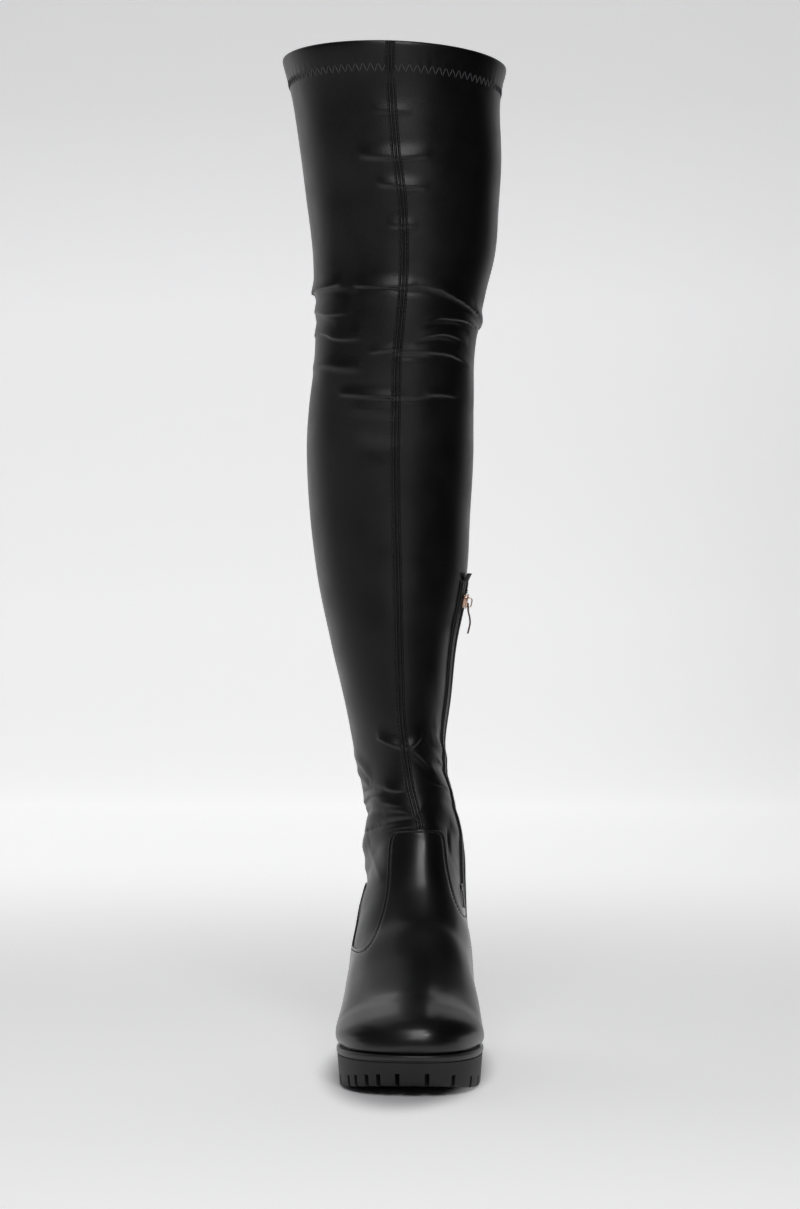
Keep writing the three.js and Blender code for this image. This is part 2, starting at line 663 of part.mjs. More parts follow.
// A strip of skin along the front or back profile, which a prism along Y cuts out
function seam(name, along, lowZ, front) {
  const path = ringRows(0, BAND_ROW).map((u) => {
    const point = ring(u, AROUND)[front ? AROUND / 2 : 0];
    return [point.x, point.z];
  });
  const highZ = path[path.length - 1][1] - 2 * CLEARANCE;
  const inside = path.filter(([, z]) => z > lowZ && z < highZ);
  const first = path[path.findIndex(([, z]) => z > lowZ)];
  const centre = [[first[0], lowZ], ...inside, [path[path.length - 1][0], highZ]];
  const left = centre.map(([x, z]) => [x - SEAM_WIDTH / 2, z]);
  const right = centre.map(([x, z]) => [x + SEAM_WIDTH / 2, z]).reverse();
  const cutter = toSolid(prismY([...left, ...right], along[0], along[1]));
  const solid = skin(CLEARANCE, SEAM_RISE).intersect(cutter);
  return part(name, toGeometry(solid), STRETCH_LEATHER);
}

function zipTape() {
  const cutter = toSolid(prismX(zipOutline(TAPE_WIDTH / 2, ZIP_FOOT, ZIP_TOP), 0, FAR));
  return part('zip_tape', toGeometry(skin(CLEARANCE, TAPE).intersect(cutter)), TAPE_CLOTH);
}

function zipCoil() {
  const high = SLIDER_HEIGHT - SLIDER_LENGTH / 2 - 2 * CLEARANCE;
  const cutter = toSolid(prismX(zipOutline(COIL_WIDTH / 2, ZIP_FOOT + SETBACK, high), 0, FAR));
  const coil = skin(2 * CLEARANCE + TAPE, COIL).intersect(cutter);
  return part('zip_coil', toGeometry(coil), COIL_PLASTIC);
}

// Where a level line at a height meets the inner side of the leg, on the zip's centre line
function zipPoint(height) {
  const surface = new THREE.Mesh(sheet(HEEL_ROW, LAST_ROW));
  surface.material.side = THREE.DoubleSide;
  const ray = new THREE.Raycaster(
    new THREE.Vector3(FAR, ZIP_Y, height),
    new THREE.Vector3(-1, 0, 0),
  );
  return ray.intersectObject(surface)[0].point;
}

// The slider's own frame: x out of the leg, y across the zip, z along it
const SLIDER_BASE = CLEARANCE + TAPE + 2 * CLEARANCE;
const BRIDGE = { low: -3.6, high: 3, inner: 2.4, wall: 0.9, width: 2.4 };
const PIN = { x: SLIDER_THICKNESS + BRIDGE.inner / 2, z: -1.3 };
const EYE_LENGTH = 4.8; // from the pin to the lower end of the pull's eye

function sliderFrame() {
  const low = zipPoint(SLIDER_HEIGHT - SLIDER_LENGTH);
  const high = zipPoint(SLIDER_HEIGHT + SLIDER_LENGTH);
  const tilt = Math.atan2(high.x - low.x, high.z - low.z);
  const out = new THREE.Vector3(Math.cos(tilt), 0, -Math.sin(tilt));
  const position = zipPoint(SLIDER_HEIGHT).addScaledVector(out, SLIDER_BASE);
  return { tilt, position };
}

function zipSlider(frame) {
  const [half, length] = [SLIDER_WIDTH / 2, SLIDER_LENGTH / 2];
  const plate = toSolid(prismX([
    [-0.68 * half, -length], [0.68 * half, -length], [half, 0.3 * length],
    [0.9 * half, length], [-0.9 * half, length], [-half, 0.3 * length],
  ], 0, SLIDER_THICKNESS));
  const outside = SLIDER_THICKNESS + BRIDGE.inner + BRIDGE.wall;
  const arch = toSolid(prismY([
    [SLIDER_THICKNESS - 0.4, BRIDGE.low], [outside - 0.9, BRIDGE.low], [outside, BRIDGE.low + 1],
    [outside, BRIDGE.high - 1.2], [outside - 1.1, BRIDGE.high], [SLIDER_THICKNESS - 0.4, BRIDGE.high],
  ], -BRIDGE.width / 2, BRIDGE.width / 2));
  const slot = toSolid(prismY([
    [SLIDER_THICKNESS, BRIDGE.low + BRIDGE.wall], [outside - BRIDGE.wall, BRIDGE.low + BRIDGE.wall],
    [outside - BRIDGE.wall, BRIDGE.high - BRIDGE.wall], [SLIDER_THICKNESS, BRIDGE.high - BRIDGE.wall],
  ], -BRIDGE.width, BRIDGE.width));
  const mesh = part('zip_slider', toGeometry(plate.add(arch.subtract(slot))), ROSE_GOLD);
  mesh.position.copy(frame.position);
  mesh.rotation.y = frame.tilt;
  return mesh;
}

// The pull tab hangs straight down from its pin, whatever the slider's tilt
function zipPull(frame) {
  const wave = new THREE.SplineCurve(PULL_WAVE.map(
    ([share, x]) => new THREE.Vector2(x, -share * PULL_LENGTH),
  ));
  const half = PULL_THICKNESS / 2;
  const centre = wave.getPoints(14).map((p) => [p.x, p.y]);
  const plate = toSolid(prismY([
    ...centre.map(([x, z]) => [x - half, z]),
    ...centre.map(([x, z]) => [x + half, z]).reverse(),
    [half, half],
    [-half, half],
  ], -PULL_WIDTH / 2, PULL_WIDTH / 2));
  const eye = new THREE.BoxGeometry(FAR, BRIDGE.width + 3 * CLEARANCE, EYE_LENGTH - half);
  eye.translate(0, 0, -(EYE_LENGTH + half) / 2);
  const mesh = part('zip_pull', toGeometry(plate.subtract(toSolid(eye))), BRONZE);
  const pin = new THREE.Vector3(PIN.x, 0, PIN.z).applyAxisAngle(new THREE.Vector3(0, 1, 0), frame.tilt);
  mesh.position.copy(frame.position).add(pin);
  return mesh;
}

function boot() {
  const frame = sliderFrame();
  const group = new THREE.Group();
  group.add(
    outsole(),
    midsole(),
    insole(),
    upper(),
    vamp(),
    heelCounter(),
    collarBand(),
    seam('front_seam', [-FAR, 0], INSTEP_HEIGHT + 2 * CLEARANCE, true),
    seam('back_seam', [0, FAR], COUNTER_OUTLINE[9][1] * INSTEP_HEIGHT + SETBACK, false),
    zipTape(),
    zipCoil(),
    zipSlider(frame),
    zipPull(frame),
  );
  return group;
}

export default boot();
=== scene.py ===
# Thigh high boot for the right foot: a smooth leather foot, a stretch leather shaft that reaches
# the thigh, a zip on the inner side of the calf and a thick lugged sole with a low heel.

# %% [markdown]
# ## The frame
# The boot's plain solids come first, as a fixed frame in metres: +Z up the leg, -Y towards the
# toe and +X towards the inner side of the leg. Every piece made here lies where its solid lies.

# %% Load the frame
import json
import math

import bmesh
import bpy
import numpy as np
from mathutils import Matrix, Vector
from mathutils.bvhtree import BVHTree
from mathutils.geometry import delaunay_2d_cdt


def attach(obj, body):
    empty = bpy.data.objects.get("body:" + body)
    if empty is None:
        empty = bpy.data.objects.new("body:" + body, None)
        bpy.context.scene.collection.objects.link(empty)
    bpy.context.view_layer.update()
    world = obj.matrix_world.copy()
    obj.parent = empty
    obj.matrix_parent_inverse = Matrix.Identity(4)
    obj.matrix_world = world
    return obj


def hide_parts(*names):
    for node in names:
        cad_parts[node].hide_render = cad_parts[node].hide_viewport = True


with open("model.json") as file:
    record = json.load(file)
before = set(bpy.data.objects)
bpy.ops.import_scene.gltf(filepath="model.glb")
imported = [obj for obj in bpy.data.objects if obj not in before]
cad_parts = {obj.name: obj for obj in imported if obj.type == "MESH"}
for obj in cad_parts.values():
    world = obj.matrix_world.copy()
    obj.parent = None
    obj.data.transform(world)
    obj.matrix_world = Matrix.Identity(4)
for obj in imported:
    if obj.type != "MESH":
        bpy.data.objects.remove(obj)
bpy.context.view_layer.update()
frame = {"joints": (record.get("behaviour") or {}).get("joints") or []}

# %% [markdown]
# ## The shape of the leg
# A boot like this is cut flat and then takes its shape from the last in the foot and from the
# leg in the shaft. It could be sculpted, but a sculpted shape is hard to change or to measure.
# Here it is lofted: a table gives the boot's section at each height, and one smooth curve runs
# through each column. In the foot the sections fan out from the ball like the leaves of a book,
# and above the heel they close round the leg.

# %% Sizes and sections
MM = 0.001
BOOT_HEIGHT, COLLAR_WIDTH, COLLAR_DEPTH, COLLAR_DIP = 721.5 * MM, 160 * MM, 172 * MM, 6 * MM
FOOT_LENGTH, BALL_WIDTH, INSTEP_HEIGHT = 275 * MM, 96 * MM, 166 * MM
PLATFORM, HEEL_SEAT, TOE_SEAT, TOE_SPRING = 26 * MM, 42 * MM, 28 * MM, 8 * MM
CLEARANCE = 0.3 * MM  # between pieces that lie on each other
WALL = 1.8 * MM  # leather and lining together
BAND_START = 1 - 20 * MM / BOOT_HEIGHT  # lower edge of the collar's hem

# Foot: y as shares of its length, rises as shares of the height from platform to instep, x as
# shares of the width at the ball.
FOOT_COLUMNS = ("top_y", "top_rise", "low_y", "low_rise", "ridge", "keel",
                "inner", "outer", "foot_inner", "foot_outer", "wide", "arch")
FOOT = [
    (-0.731, 0.016, -0.491, 0, 0.135, 0.05, 0.526, -0.413, 0.526, -0.413, 0, 2.4),
    (-0.738, 0.046, -0.491, 0, 0.14, 0.05, 0.53, -0.416, 0.526, -0.413, 0.04, 2.25),
    (-0.735, 0.089, -0.491, 0, 0.145, 0.05, 0.54, -0.426, 0.526, -0.413, 0.09, 2.15),
    (-0.722, 0.134, -0.491, 0, 0.15, 0.05, 0.551, -0.437, 0.526, -0.413, 0.14, 2.1),
    (-0.691, 0.179, -0.491, 0, 0.155, 0.05, 0.561, -0.446, 0.526, -0.413, 0.19, 2.05),
    (-0.63, 0.222, -0.491, 0, 0.155, 0.05, 0.567, -0.452, 0.526, -0.413, 0.23, 2),
    (-0.54, 0.276, -0.491, 0, 0.155, 0.05, 0.557, -0.452, 0.526, -0.413, 0.26, 2),
    (-0.446, 0.4, -0.393, 0, 0.15, 0.04, 0.53, -0.434, 0.49, -0.4, 0.31, 2),
    (-0.376, 0.523, -0.284, 0, 0.145, 0.02, 0.49, -0.42, 0.43, -0.385, 0.37, 2),
    (-0.338, 0.589, -0.167, 0, 0.135, 0.01, 0.473, -0.412, 0.375, -0.36, 0.42, 2),
    (-0.291, 0.7, -0.05, 0, 0.125, 0.01, 0.455, -0.405, 0.335, -0.335, 0.46, 2),
    (-0.264, 0.786, 0.058, 0, 0.115, 0.01, 0.43, -0.39, 0.32, -0.31, 0.48, 2),
    (-0.244, 0.865, 0.145, 0, 0.11, 0.01, 0.41, -0.378, 0.28, -0.265, 0.5, 2),
    (-0.23, 0.935, 0.196, 0, 0.105, 0.01, 0.4, -0.362, 0.18, -0.155, 0.5, 2),
    (-0.222, 0.99, 0.218, 0, 0.1, 0.01, 0.39, -0.348, 0.01, 0.01, 0.5, 2),
    (-0.213, 1.05, 0.227, 0.07, 0.085, 0.015, 0.385, -0.332, 0.015, 0.015, 0.5, 2),
    (-0.202, 1.12, 0.229, 0.2, 0.052, 0.02, 0.38, -0.335, 0.02, 0.02, 0.5, 2),
    (-0.191, 1.207, 0.215, 0.4, 0.017, 0.015, 0.372, -0.35, 0.015, 0.015, 0.5, 2),
    (-0.182, 1.307, 0.193, 0.643, -0.008, 0, 0.335, -0.335, 0, 0, 0.5, 2),
    (-0.176, 1.43, 0.175, 0.9, -0.029, -0.042, 0.262, -0.378, -0.042, -0.042, 0.5, 2),
    (-0.175, 1.57, 0.171, 1.164, -0.052, -0.083, 0.228, -0.438, -0.083, -0.083, 0.5, 2),
]
# Shaft: y as shares of the collar's depth, heights of the boot's, x of the collar's width.
LEG_COLUMNS = ("top_y", "top_height", "low_y", "low_height", "ridge", "keel",
               "inner", "outer", "wide", "dip")
LEG = [
    (-0.279, 0.378, 0.302, 0.342, -0.038, -0.063, 0.162, -0.31, 0.5, 0),
    (-0.279, 0.424, 0.36, 0.403, -0.043, -0.075, 0.19, -0.368, 0.49, 0),
    (-0.279, 0.48, 0.407, 0.47, -0.048, -0.084, 0.247, -0.428, 0.47, 0),
    (-0.285, 0.542, 0.424, 0.54, -0.054, -0.094, 0.266, -0.466, 0.46, 0),
    (-0.302, 0.601, 0.407, 0.601, -0.056, -0.094, 0.281, -0.48, 0.47, 0),
    (-0.331, 0.651, 0.372, 0.651, -0.05, -0.088, 0.284, -0.463, 0.5, 0),
    (-0.36, 0.691, 0.349, 0.691, -0.045, -0.078, 0.284, -0.438, 0.52, 0),
    (-0.375, 0.729, 0.349, 0.726, -0.029, -0.063, 0.305, -0.431, 0.52, 0),
    (-0.381, 0.765, 0.36, 0.762, -0.016, -0.05, 0.341, -0.438, 0.5, 0),
    (-0.395, 0.804, 0.384, 0.801, -0.013, -0.038, 0.381, -0.446, 0.5, 0.1),
    (-0.419, 0.851, 0.413, 0.847, -0.022, -0.038, 0.397, -0.469, 0.5, 0.3),
    (-0.448, 0.904, 0.442, 0.899, -0.05, -0.05, 0.409, -0.5, 0.5, 0.6),
    (-0.48, BAND_START, 0.477, BAND_START - 0.007, -0.068, -0.063, 0.402, -0.545, 0.5, 0.95),
    (-0.5, 1, 0.494, 0.993, -0.066, -0.072, 0.425, -0.575, 0.5, 1),
]
BALL_ROW, HEEL_ROW = 6, 14  # the toe's sections turn about the ball; above the heel they close
BALL_Y, TOE_Y, HEEL_Y = -0.491 * FOOT_LENGTH, -0.731 * FOOT_LENGTH, 0.218 * FOOT_LENGTH


def seat_height(y):
    """Top of the welt under the upper's foot line"""
    toe = PLATFORM + (TOE_SEAT - PLATFORM) * (BALL_Y - y) / (BALL_Y - TOE_Y)
    t = np.clip((y - BALL_Y) / (HEEL_Y - BALL_Y), 0, 1)
    return np.where(y < BALL_Y, toe, PLATFORM + (HEEL_SEAT - PLATFORM) * t * t * (3 - 2 * t))


def tread_height(y):
    """Underside of the sole, which lifts towards the toe"""
    return TOE_SPRING * np.clip((BALL_Y - y) / (BALL_Y - TOE_Y), 0, 1.1) ** 2


def foot_section(row):
    r = dict(zip(FOOT_COLUMNS, row))
    rise = INSTEP_HEIGHT - PLATFORM
    low_y = r["low_y"] * FOOT_LENGTH
    ankle = max(r["top_rise"] - 1, 0) * (BOOT_HEIGHT - INSTEP_HEIGHT) / 4
    widths = [r[name] * BALL_WIDTH for name in
              ("ridge", "keel", "inner", "outer", "foot_inner", "foot_outer")]
    return [r["top_y"] * FOOT_LENGTH, PLATFORM + min(r["top_rise"], 1) * rise + ankle, low_y,
            float(seat_height(low_y)) + CLEARANCE + r["low_rise"] * rise,
            *widths, r["wide"], r["arch"], 0]


def leg_section(row):
    r = dict(zip(LEG_COLUMNS, row))
    keel = r["keel"] * COLLAR_WIDTH
    return [r["top_y"] * COLLAR_DEPTH, r["top_height"] * BOOT_HEIGHT, r["low_y"] * COLLAR_DEPTH,
            r["low_height"] * BOOT_HEIGHT, r["ridge"] * COLLAR_WIDTH, keel,
            r["inner"] * COLLAR_WIDTH, r["outer"] * COLLAR_WIDTH, keel, keel,
            r["wide"], 2, r["dip"] * COLLAR_DIP]


NAMES = ("top_y", "top_z", "low_y", "low_z", "ridge", "keel", "inner", "outer",
         "foot_inner", "foot_outer", "wide", "arch", "dip")
sections = np.array([foot_section(r) for r in FOOT] + [leg_section(r) for r in LEG], float)
LAST_ROW = len(sections) - 1
BAND_ROW = LAST_ROW - 1
print("sections", len(sections), "seat at the heel", float(seat_height(HEEL_Y)) / MM, "mm")

# %% [markdown]
# A section is half an ellipse below its widest point and a fuller arch above it. Its points are
# spread evenly by length, so that the leather's faces keep about the same size all round.
# v runs round the leg: 0 at the sole or the back on the inner side, 0.5 at the front, 1 at the
# sole or the back on the outer side.

# %% Points on the sections
def on_curve(table, at):
    """Rows of a table at places between its rows, on one smooth curve through each column"""
    k = np.clip(np.floor(at).astype(int), 0, len(table) - 2)
    t = (at - k)[:, None]
    slope = np.gradient(table, axis=0)
    return ((2 * t**3 - 3 * t**2 + 1) * table[k] + (t**3 - 2 * t**2 + t) * slope[k]
            + (3 * t**2 - 2 * t**3) * table[k + 1] + (t**3 - t**2) * slope[k + 1])


def way_along(points):
    """Distance from the first point of each line to its other points"""
    steps = np.linalg.norm(np.diff(points, axis=-2), axis=-1)
    return np.concatenate([np.zeros((*steps.shape[:-1], 1)), np.cumsum(steps, -1)], -1)


def at_way(points, way, places):
    """Points at given distances along one line"""
    return np.stack([np.interp(places, way, column) for column in points.T], -1)


def rings(u, shares):
    """Rings of points at rows u. shares say where they lie on each half, from 0 to 1."""
    s, low = (dict(zip(NAMES, on_curve(sections, rows).T[:, :, None]))
              for rows in (u, np.maximum(u, BALL_ROW)))
    for name in ("low_y", "low_z", "keel", "foot_inner", "foot_outer"):
        s[name] = low[name]
    u = u[:, None]
    s["low_z"] = np.where(u <= HEEL_ROW, seat_height(s["low_y"]) + CLEARANCE, s["low_z"])
    wide = np.maximum(s["wide"], 0)
    t = np.linspace(0, 2, 161)[None, :]
    halves = []
    for side in ("inner", "outer"):
        far, foot = s[side], np.where(u >= HEEL_ROW, s["keel"], s["foot_" + side])
        reach = far - s["keel"]
        start = np.arcsin(np.clip((foot - s["keel"]) / reach, 0, 0.999))
        angle = start + (np.pi / 2 - start) * np.minimum(t, 1)
        up = np.pi / 2 * np.maximum(t - 1, 0)
        power = 2 / s["arch"]
        x_up = s["ridge"] + (far - s["ridge"]) * np.maximum(np.cos(up), 0) ** power
        x = np.where(t < 1, s["keel"] + reach * np.sin(angle), x_up)
        share = np.where(t < 1, wide * (1 - np.cos(angle) / np.cos(start)),
                         wide + (1 - wide) * np.sin(up) ** power)
        y = s["low_y"] + (s["top_y"] - s["low_y"]) * share
        z = s["low_z"] + (s["top_z"] - s["low_z"]) * share
        z = np.where(u == 0, seat_height(y) + CLEARANCE, z)
        z = z - s["dip"] * (x - s["outer"]) / (s["inner"] - s["outer"])
        points = np.stack([x, y, z], -1)
        halves.append(np.array([at_way(line, way, shares * way[-1])
                                for line, way in zip(points, way_along(points))]))
    return np.concatenate([halves[0], halves[1][:, ::-1][:, 1:]], 1)


# Above the heel the rows are given by their height in front, in mm: close where the folds are.
ROW_PITCHES = [(235, 1.15), (462, 4.2), (562, 1.1), (702, 1.7), (730, 1.3)]
front_heights = sections[HEEL_ROW:, NAMES.index("top_z")] / MM
heights = [front_heights[0]]
for top, pitch in ROW_PITCHES:
    heights.extend(np.arange(heights[-1] + pitch, min(top, front_heights[-1] - 0.5), pitch))
above_heel = np.interp([*heights, front_heights[-1]], front_heights,
                       np.arange(HEEL_ROW, LAST_ROW + 1))
ROW_STEPS = np.concatenate([np.arange(0, HEEL_ROW, 0.1), above_heel])
HALF = 104  # faces from the back or the sole to the front
shares = np.linspace(0, 1, HALF + 1)
V_STEPS = np.linspace(0, 1, 2 * HALF + 1)
plain = rings(ROW_STEPS, shares)
print("rings", plain.shape, "top", round(plain[..., 2].max() / MM, 1), "mm")

# %% [markdown]
# ## Folds of the worn leather
# The shaft gives way in folds where the leg bends: a roll across the knee, fine pulls beside and
# below it, rolls behind it, and a V over the front seam where the shaft settles on the foot. The
# narrow ones are pressed: steep on one side and hanging over a little, as a thin film on cloth
# folds. A cloth simulation would put folds where it likes. Here each one is laid one by one, as a
# path in degrees round the leg from the front (the inner side is positive) and millimetres above
# the tread, with its height (a trough is negative) and its width in millimetres.

# %% Table of folds
FOLDS = [
    # knee, the roll that crosses it, and the crease under the roll
    (2.3, 3.4, [(-140, 546), (-100, 552), (-68, 554), (-54, 554), (-44, 553)]),
    (2.1, 3.4, [(-34, 551.5), (-22, 551.5), (-10, 551), (8, 549.5)]),
    (1.2, 2.9, [(-6, 552), (14, 550), (26, 548), (38, 543.5), (57, 537.5), (76, 532),
                (100, 526), (130, 521)]),
    (-1.1, 4.0, [(-130, 538), (-90, 545), (-60, 547), (-30, 546)]),
    (-0.6, 2.4, [(-34, 549), (-12, 548.5), (-2, 546.5), (16, 545.5), (26, 543), (38, 539),
                (52, 535), (76, 530), (100, 523), (125, 517)]),
    (1.7, 4.0, [(60, 538), (92, 530), (132, 522)]),
    # knee, inner side
    (1.0, 2.6, [(16, 523), (27, 528), (38, 528.5), (52, 528), (76, 524), (92, 521)]),
    (-0.9, 2.2, [(18, 521), (30, 523), (45, 523), (62, 519)]),
    (0.9, 2.6, [(12, 512), (23, 516), (33, 517.5), (46, 515.5), (62, 511)]),
    (-0.8, 2.4, [(12, 509), (31, 512), (50, 509.5)]),
    (1.1, 3.0, [(-2, 502.5), (10, 504), (26, 504.5), (40, 503.5), (54, 500), (72, 495)]),
    (-0.7, 2.2, [(-4, 500), (8, 500), (24, 500)]),
    # knee, outer side
    (0.9, 3.4, [(-115, 538), (-83, 537), (-57, 533), (-36, 532)]),
    (-0.7, 3.4, [(-115, 528), (-75, 530), (-48, 525)]),
    (1.1, 3.8, [(-125, 518), (-69, 521), (-47, 515.5), (-26, 513.5)]),
    (0.9, 4.0, [(-115, 494), (-64, 497), (-40, 493.5), (-24, 492)]),
    (-1.0, 4.6, [(-33, 547), (-32, 532), (-31, 519)]),
    (0.9, 2.6, [(-20, 503), (-9, 505), (2, 506)]),
    # below the knee
    (1.5, 2.7, [(-42, 475), (-24, 474.5), (-8, 473), (6, 472.5)]),
    (-0.6, 2.0, [(-32, 471.5), (-7, 469.5), (14, 469.5), (30, 471.5), (56, 470.5)]),
    (0.8, 2.4, [(20, 474), (34, 475), (52, 473.5)]),
    (0.7, 4.0, [(-32, 464), (-12, 461), (2, 460)]),
    (0.7, 7.0, [(-30, 451), (-12, 447), (4, 445)]),
    (-0.6, 5.0, [(-28, 437), (-6, 435), (12, 437)]),
    # behind the knee
    (2.3, 6.0, [(118, 532), (150, 524), (180, 522), (210, 526), (238, 534)]),
    (-1.8, 6.0, [(122, 519), (150, 512), (180, 510), (230, 519)]),
    (1.9, 6.0, [(128, 506), (180, 497), (230, 507)]),
    (-1.3, 6.5, [(132, 492), (180, 484), (226, 492)]),
    (1.3, 7.0, [(138, 479), (180, 471), (220, 480)]),
    (1.1, 8.0, [(130, 560), (170, 566), (215, 560)]),
    # thigh, small pulls at the front seam
    (0.6, 3.2, [(4, 689), (20, 689), (38, 687)]),
    (0.6, 3.2, [(-12, 671), (10, 670)]),
    (1.7, 3.8, [(-22, 641), (-6, 640), (8, 640), (20, 641.5)]),
    (1.4, 3.6, [(-14, 621), (0, 620), (16, 618)]),
    (0.8, 3.2, [(-10, 591.5), (8, 592)]),
    # ankle, front: the pulls that meet in a V over the seam
    (1.8, 2.6, [(-28, 231), (-14, 228), (-2, 223.5)]),
    (1.8, 2.6, [(0, 223), (10, 227), (22, 233)]),
    (0.9, 3.0, [(5, 224), (15, 218), (25, 210), (34, 204)]),
    (-0.5, 3.0, [(3, 217), (13, 211), (23, 203)]),
    # ankle, outer side
    (1.3, 4.4, [(-130, 214), (-83, 214), (-58, 207), (-44, 200)]),
    (-1.4, 2.4, [(-100, 189), (-74, 191), (-40, 194), (-14, 192)]),
    (1.4, 4.2, [(-130, 204), (-90, 203), (-66, 199), (-52, 197)]),
    (1.2, 3.4, [(-110, 180), (-78, 184), (-50, 189), (-22, 189)]),
    (-1.3, 3.0, [(-125, 172), (-85, 174), (-55, 178), (-24, 178)]),
    (0.9, 2.4, [(-24, 195.5), (-12, 194), (0, 194.5)]),
    (0.7, 2.0, [(-34, 184.5), (-14, 183.5), (0, 182.5)]),
    (0.7, 2.0, [(-22, 179.5), (-9, 179.5), (0, 176)]),
    # ankle, inner side
    (1.3, 4.4, [(36, 228), (60, 222), (90, 214), (122, 207)]),
    (-1.1, 4.0, [(30, 212), (70, 206), (112, 198)]),
    (1.2, 3.4, [(14, 201), (28, 198.5), (42, 196.5), (70, 191), (110, 185)]),
    (-0.9, 4.4, [(30, 186), (75, 179), (110, 173)]),
    (1.1, 2.4, [(-2, 175.5), (3, 180), (9, 185), (18, 189)]),
    (0.9, 6.0, [(42, 168), (60, 162), (95, 158)]),
    (-1.6, 3.6, [(34, 166), (33, 157), (31, 147)]),
    # the crease over the top of the tongue
    (-1.5, 1.9, [(-92, 158), (-54, 164), (-29, 169), (-16, 172), (-5, 173.5), (12, 173.5)]),
    (0.9, 2.2, [(-36, 163.5), (-12, 168.5), (0, 169.5), (18, 169)]),
    # ankle, short pulls at the zip's facing
    (0.8, 2.2, [(46, 240), (60, 236), (78, 235)]),
    (0.9, 2.2, [(48, 227), (62, 223), (80, 222)]),
    (0.8, 2.0, [(46, 214), (58, 211), (72, 211)]),
    # over the foot, outer side
    (2.0, 8.0, [(-150, 150), (-110, 148), (-80, 150), (-56, 154)]),
    (1.0, 5.0, [(-140, 134), (-100, 133), (-70, 136), (-48, 142)]),
    (0.8, 4.0, [(-62, 150), (-45, 141), (-36, 130)]),
    # above the heel
    (1.7, 5.5, [(138, 196), (180, 187), (222, 194)]),
    (-1.5, 5.5, [(140, 182), (180, 173), (220, 180)]),
    (1.4, 5.5, [(142, 168), (180, 160), (218, 166)]),
    (-0.9, 5.5, [(146, 155), (180, 148), (212, 153)]),
    # calf, long shallow drapes
    (0.5, 12.0, [(100, 300), (140, 322), (185, 338)]),
    (0.5, 12.0, [(-100, 296), (-140, 312), (-180, 330)]),
]

PRESSED = 3.9  # mm, folds narrower than this are pressed
PRESSED_SIDES, ROLLED_SIDES = (0.5, 1.3), (0.7, 1.15)  # widths of a fold's steep and gentle side
OVERHANG = 1.4  # how far a pressed ridge hangs down, as a share of its height
UNEVEN = 0.16  # mm, slow waves between the folds
FADE_AT_SOLE, FADE_AT_HEM = 45 * MM, 30 * MM  # heights over which the folds fade out
TUCK, TUCK_HEIGHT = 1.2, 2.6 * MM  # the leather is drawn in where it meets the sole


def smooth_path(points, count=48):
    """Evenly numbered points on a soft curve through the given ones"""
    return on_curve(np.array(points, float), np.linspace(0, len(points) - 1, count))


def fold_relief(points, v):
    """How far the leather stands out at each grid point, and how far it hangs down, in metres"""
    flat = np.zeros(points.shape[:2])
    bearing = (0.5 - v)[None, :] * 360 + flat
    per_degree = way_along(points)[:, -1:] / 360 / MM + flat
    z = points[..., 2] / MM
    relief, pressed = flat.copy(), flat.copy()
    for height, width, path in FOLDS:
        line = smooth_path(path)
        near = (z > line[:, 1].min() - 3 * width) & (z < line[:, 1].max() + 3 * width)
        turn = (bearing[near][:, None] - line[None, :, 0] + 180) % 360 - 180
        across = turn * per_degree[near][:, None]
        up = z[near][:, None] - line[None, :, 1]
        distance = across**2 + up**2
        nearest = np.argmin(distance, 1)
        rows = np.arange(len(nearest))
        steep = (up[rows, nearest] < 0) == (height > 0)  # a ridge's lower side, a trough's upper
        side = np.where(steep, *(PRESSED_SIDES if width < PRESSED else ROLLED_SIDES))
        fade = np.sin(np.pi * (nearest / (len(line) - 1))) ** 0.7
        stand = height * fade * np.exp(-distance[rows, nearest] / (width * side) ** 2)
        relief[near] += stand
        if width < PRESSED and height > 0:
            pressed[near] += stand
    degrees = np.radians(bearing)
    waves = (np.sin(3 * degrees + z / 9) + np.sin(5 * degrees - z / 13 + 1)
             + np.sin(2 * degrees + z / 23 + 2))
    bends = np.exp(-((z - 515) / 60) ** 2) + 0.8 * np.exp(-((z - 190) / 40) ** 2) + 0.25
    relief += UNEVEN * waves * bends
    above_seat = points[..., 2] - seat_height(points[..., 1])
    tuck = TUCK * np.clip(1 - above_seat / TUCK_HEIGHT, 0, 1) ** 2
    faded = (np.clip(above_seat / FADE_AT_SOLE, 0, 1) ** 2
             * np.clip((0.97 * BOOT_HEIGHT - points[..., 2]) / FADE_AT_HEM, 0, 1))
    return (relief * faded - tuck) * MM, OVERHANG * pressed * faded * MM


def grid_normals(points):
    """Outward normals of a grid of rings, also where its faces meet in a point"""
    du, dv = np.gradient(points, axis=0), np.gradient(points, axis=1)
    normal = np.cross(du, dv)
    closed = ROW_STEPS >= HEEL_ROW
    ends = normal[closed, 0] + normal[closed, -1]
    normal[closed, 0] = normal[closed, -1] = ends
    size = np.linalg.norm(normal, axis=2)
    for j in (2, 1, 0):
        weak = size[:, j] < 1e-10
        normal[weak, j] = normal[weak, j + 1]
        weak = size[:, -1 - j] < 1e-10
        normal[weak, -1 - j] = normal[weak, -2 - j]
    return normal / np.maximum(np.linalg.norm(normal, axis=2, keepdims=True), 1e-12)


relief, hang = fold_relief(plain, V_STEPS)
leather = plain + grid_normals(plain) * relief[..., None]
leather[..., 2] -= hang
leather_normals = grid_normals(leather)
print("folds", len(FOLDS), "relief mm", round(relief.min() / MM, 2), round(relief.max() / MM, 2))

# %% [markdown]
# ## Helpers that lay pieces on the leather
# Everything sewn to a boot follows its leather. A projected copy would work too, but here each
# piece is built at rows and shares of the same grid, lifted by its own height above the leather,
# so that hem, seams and stitches always lie on the folds.

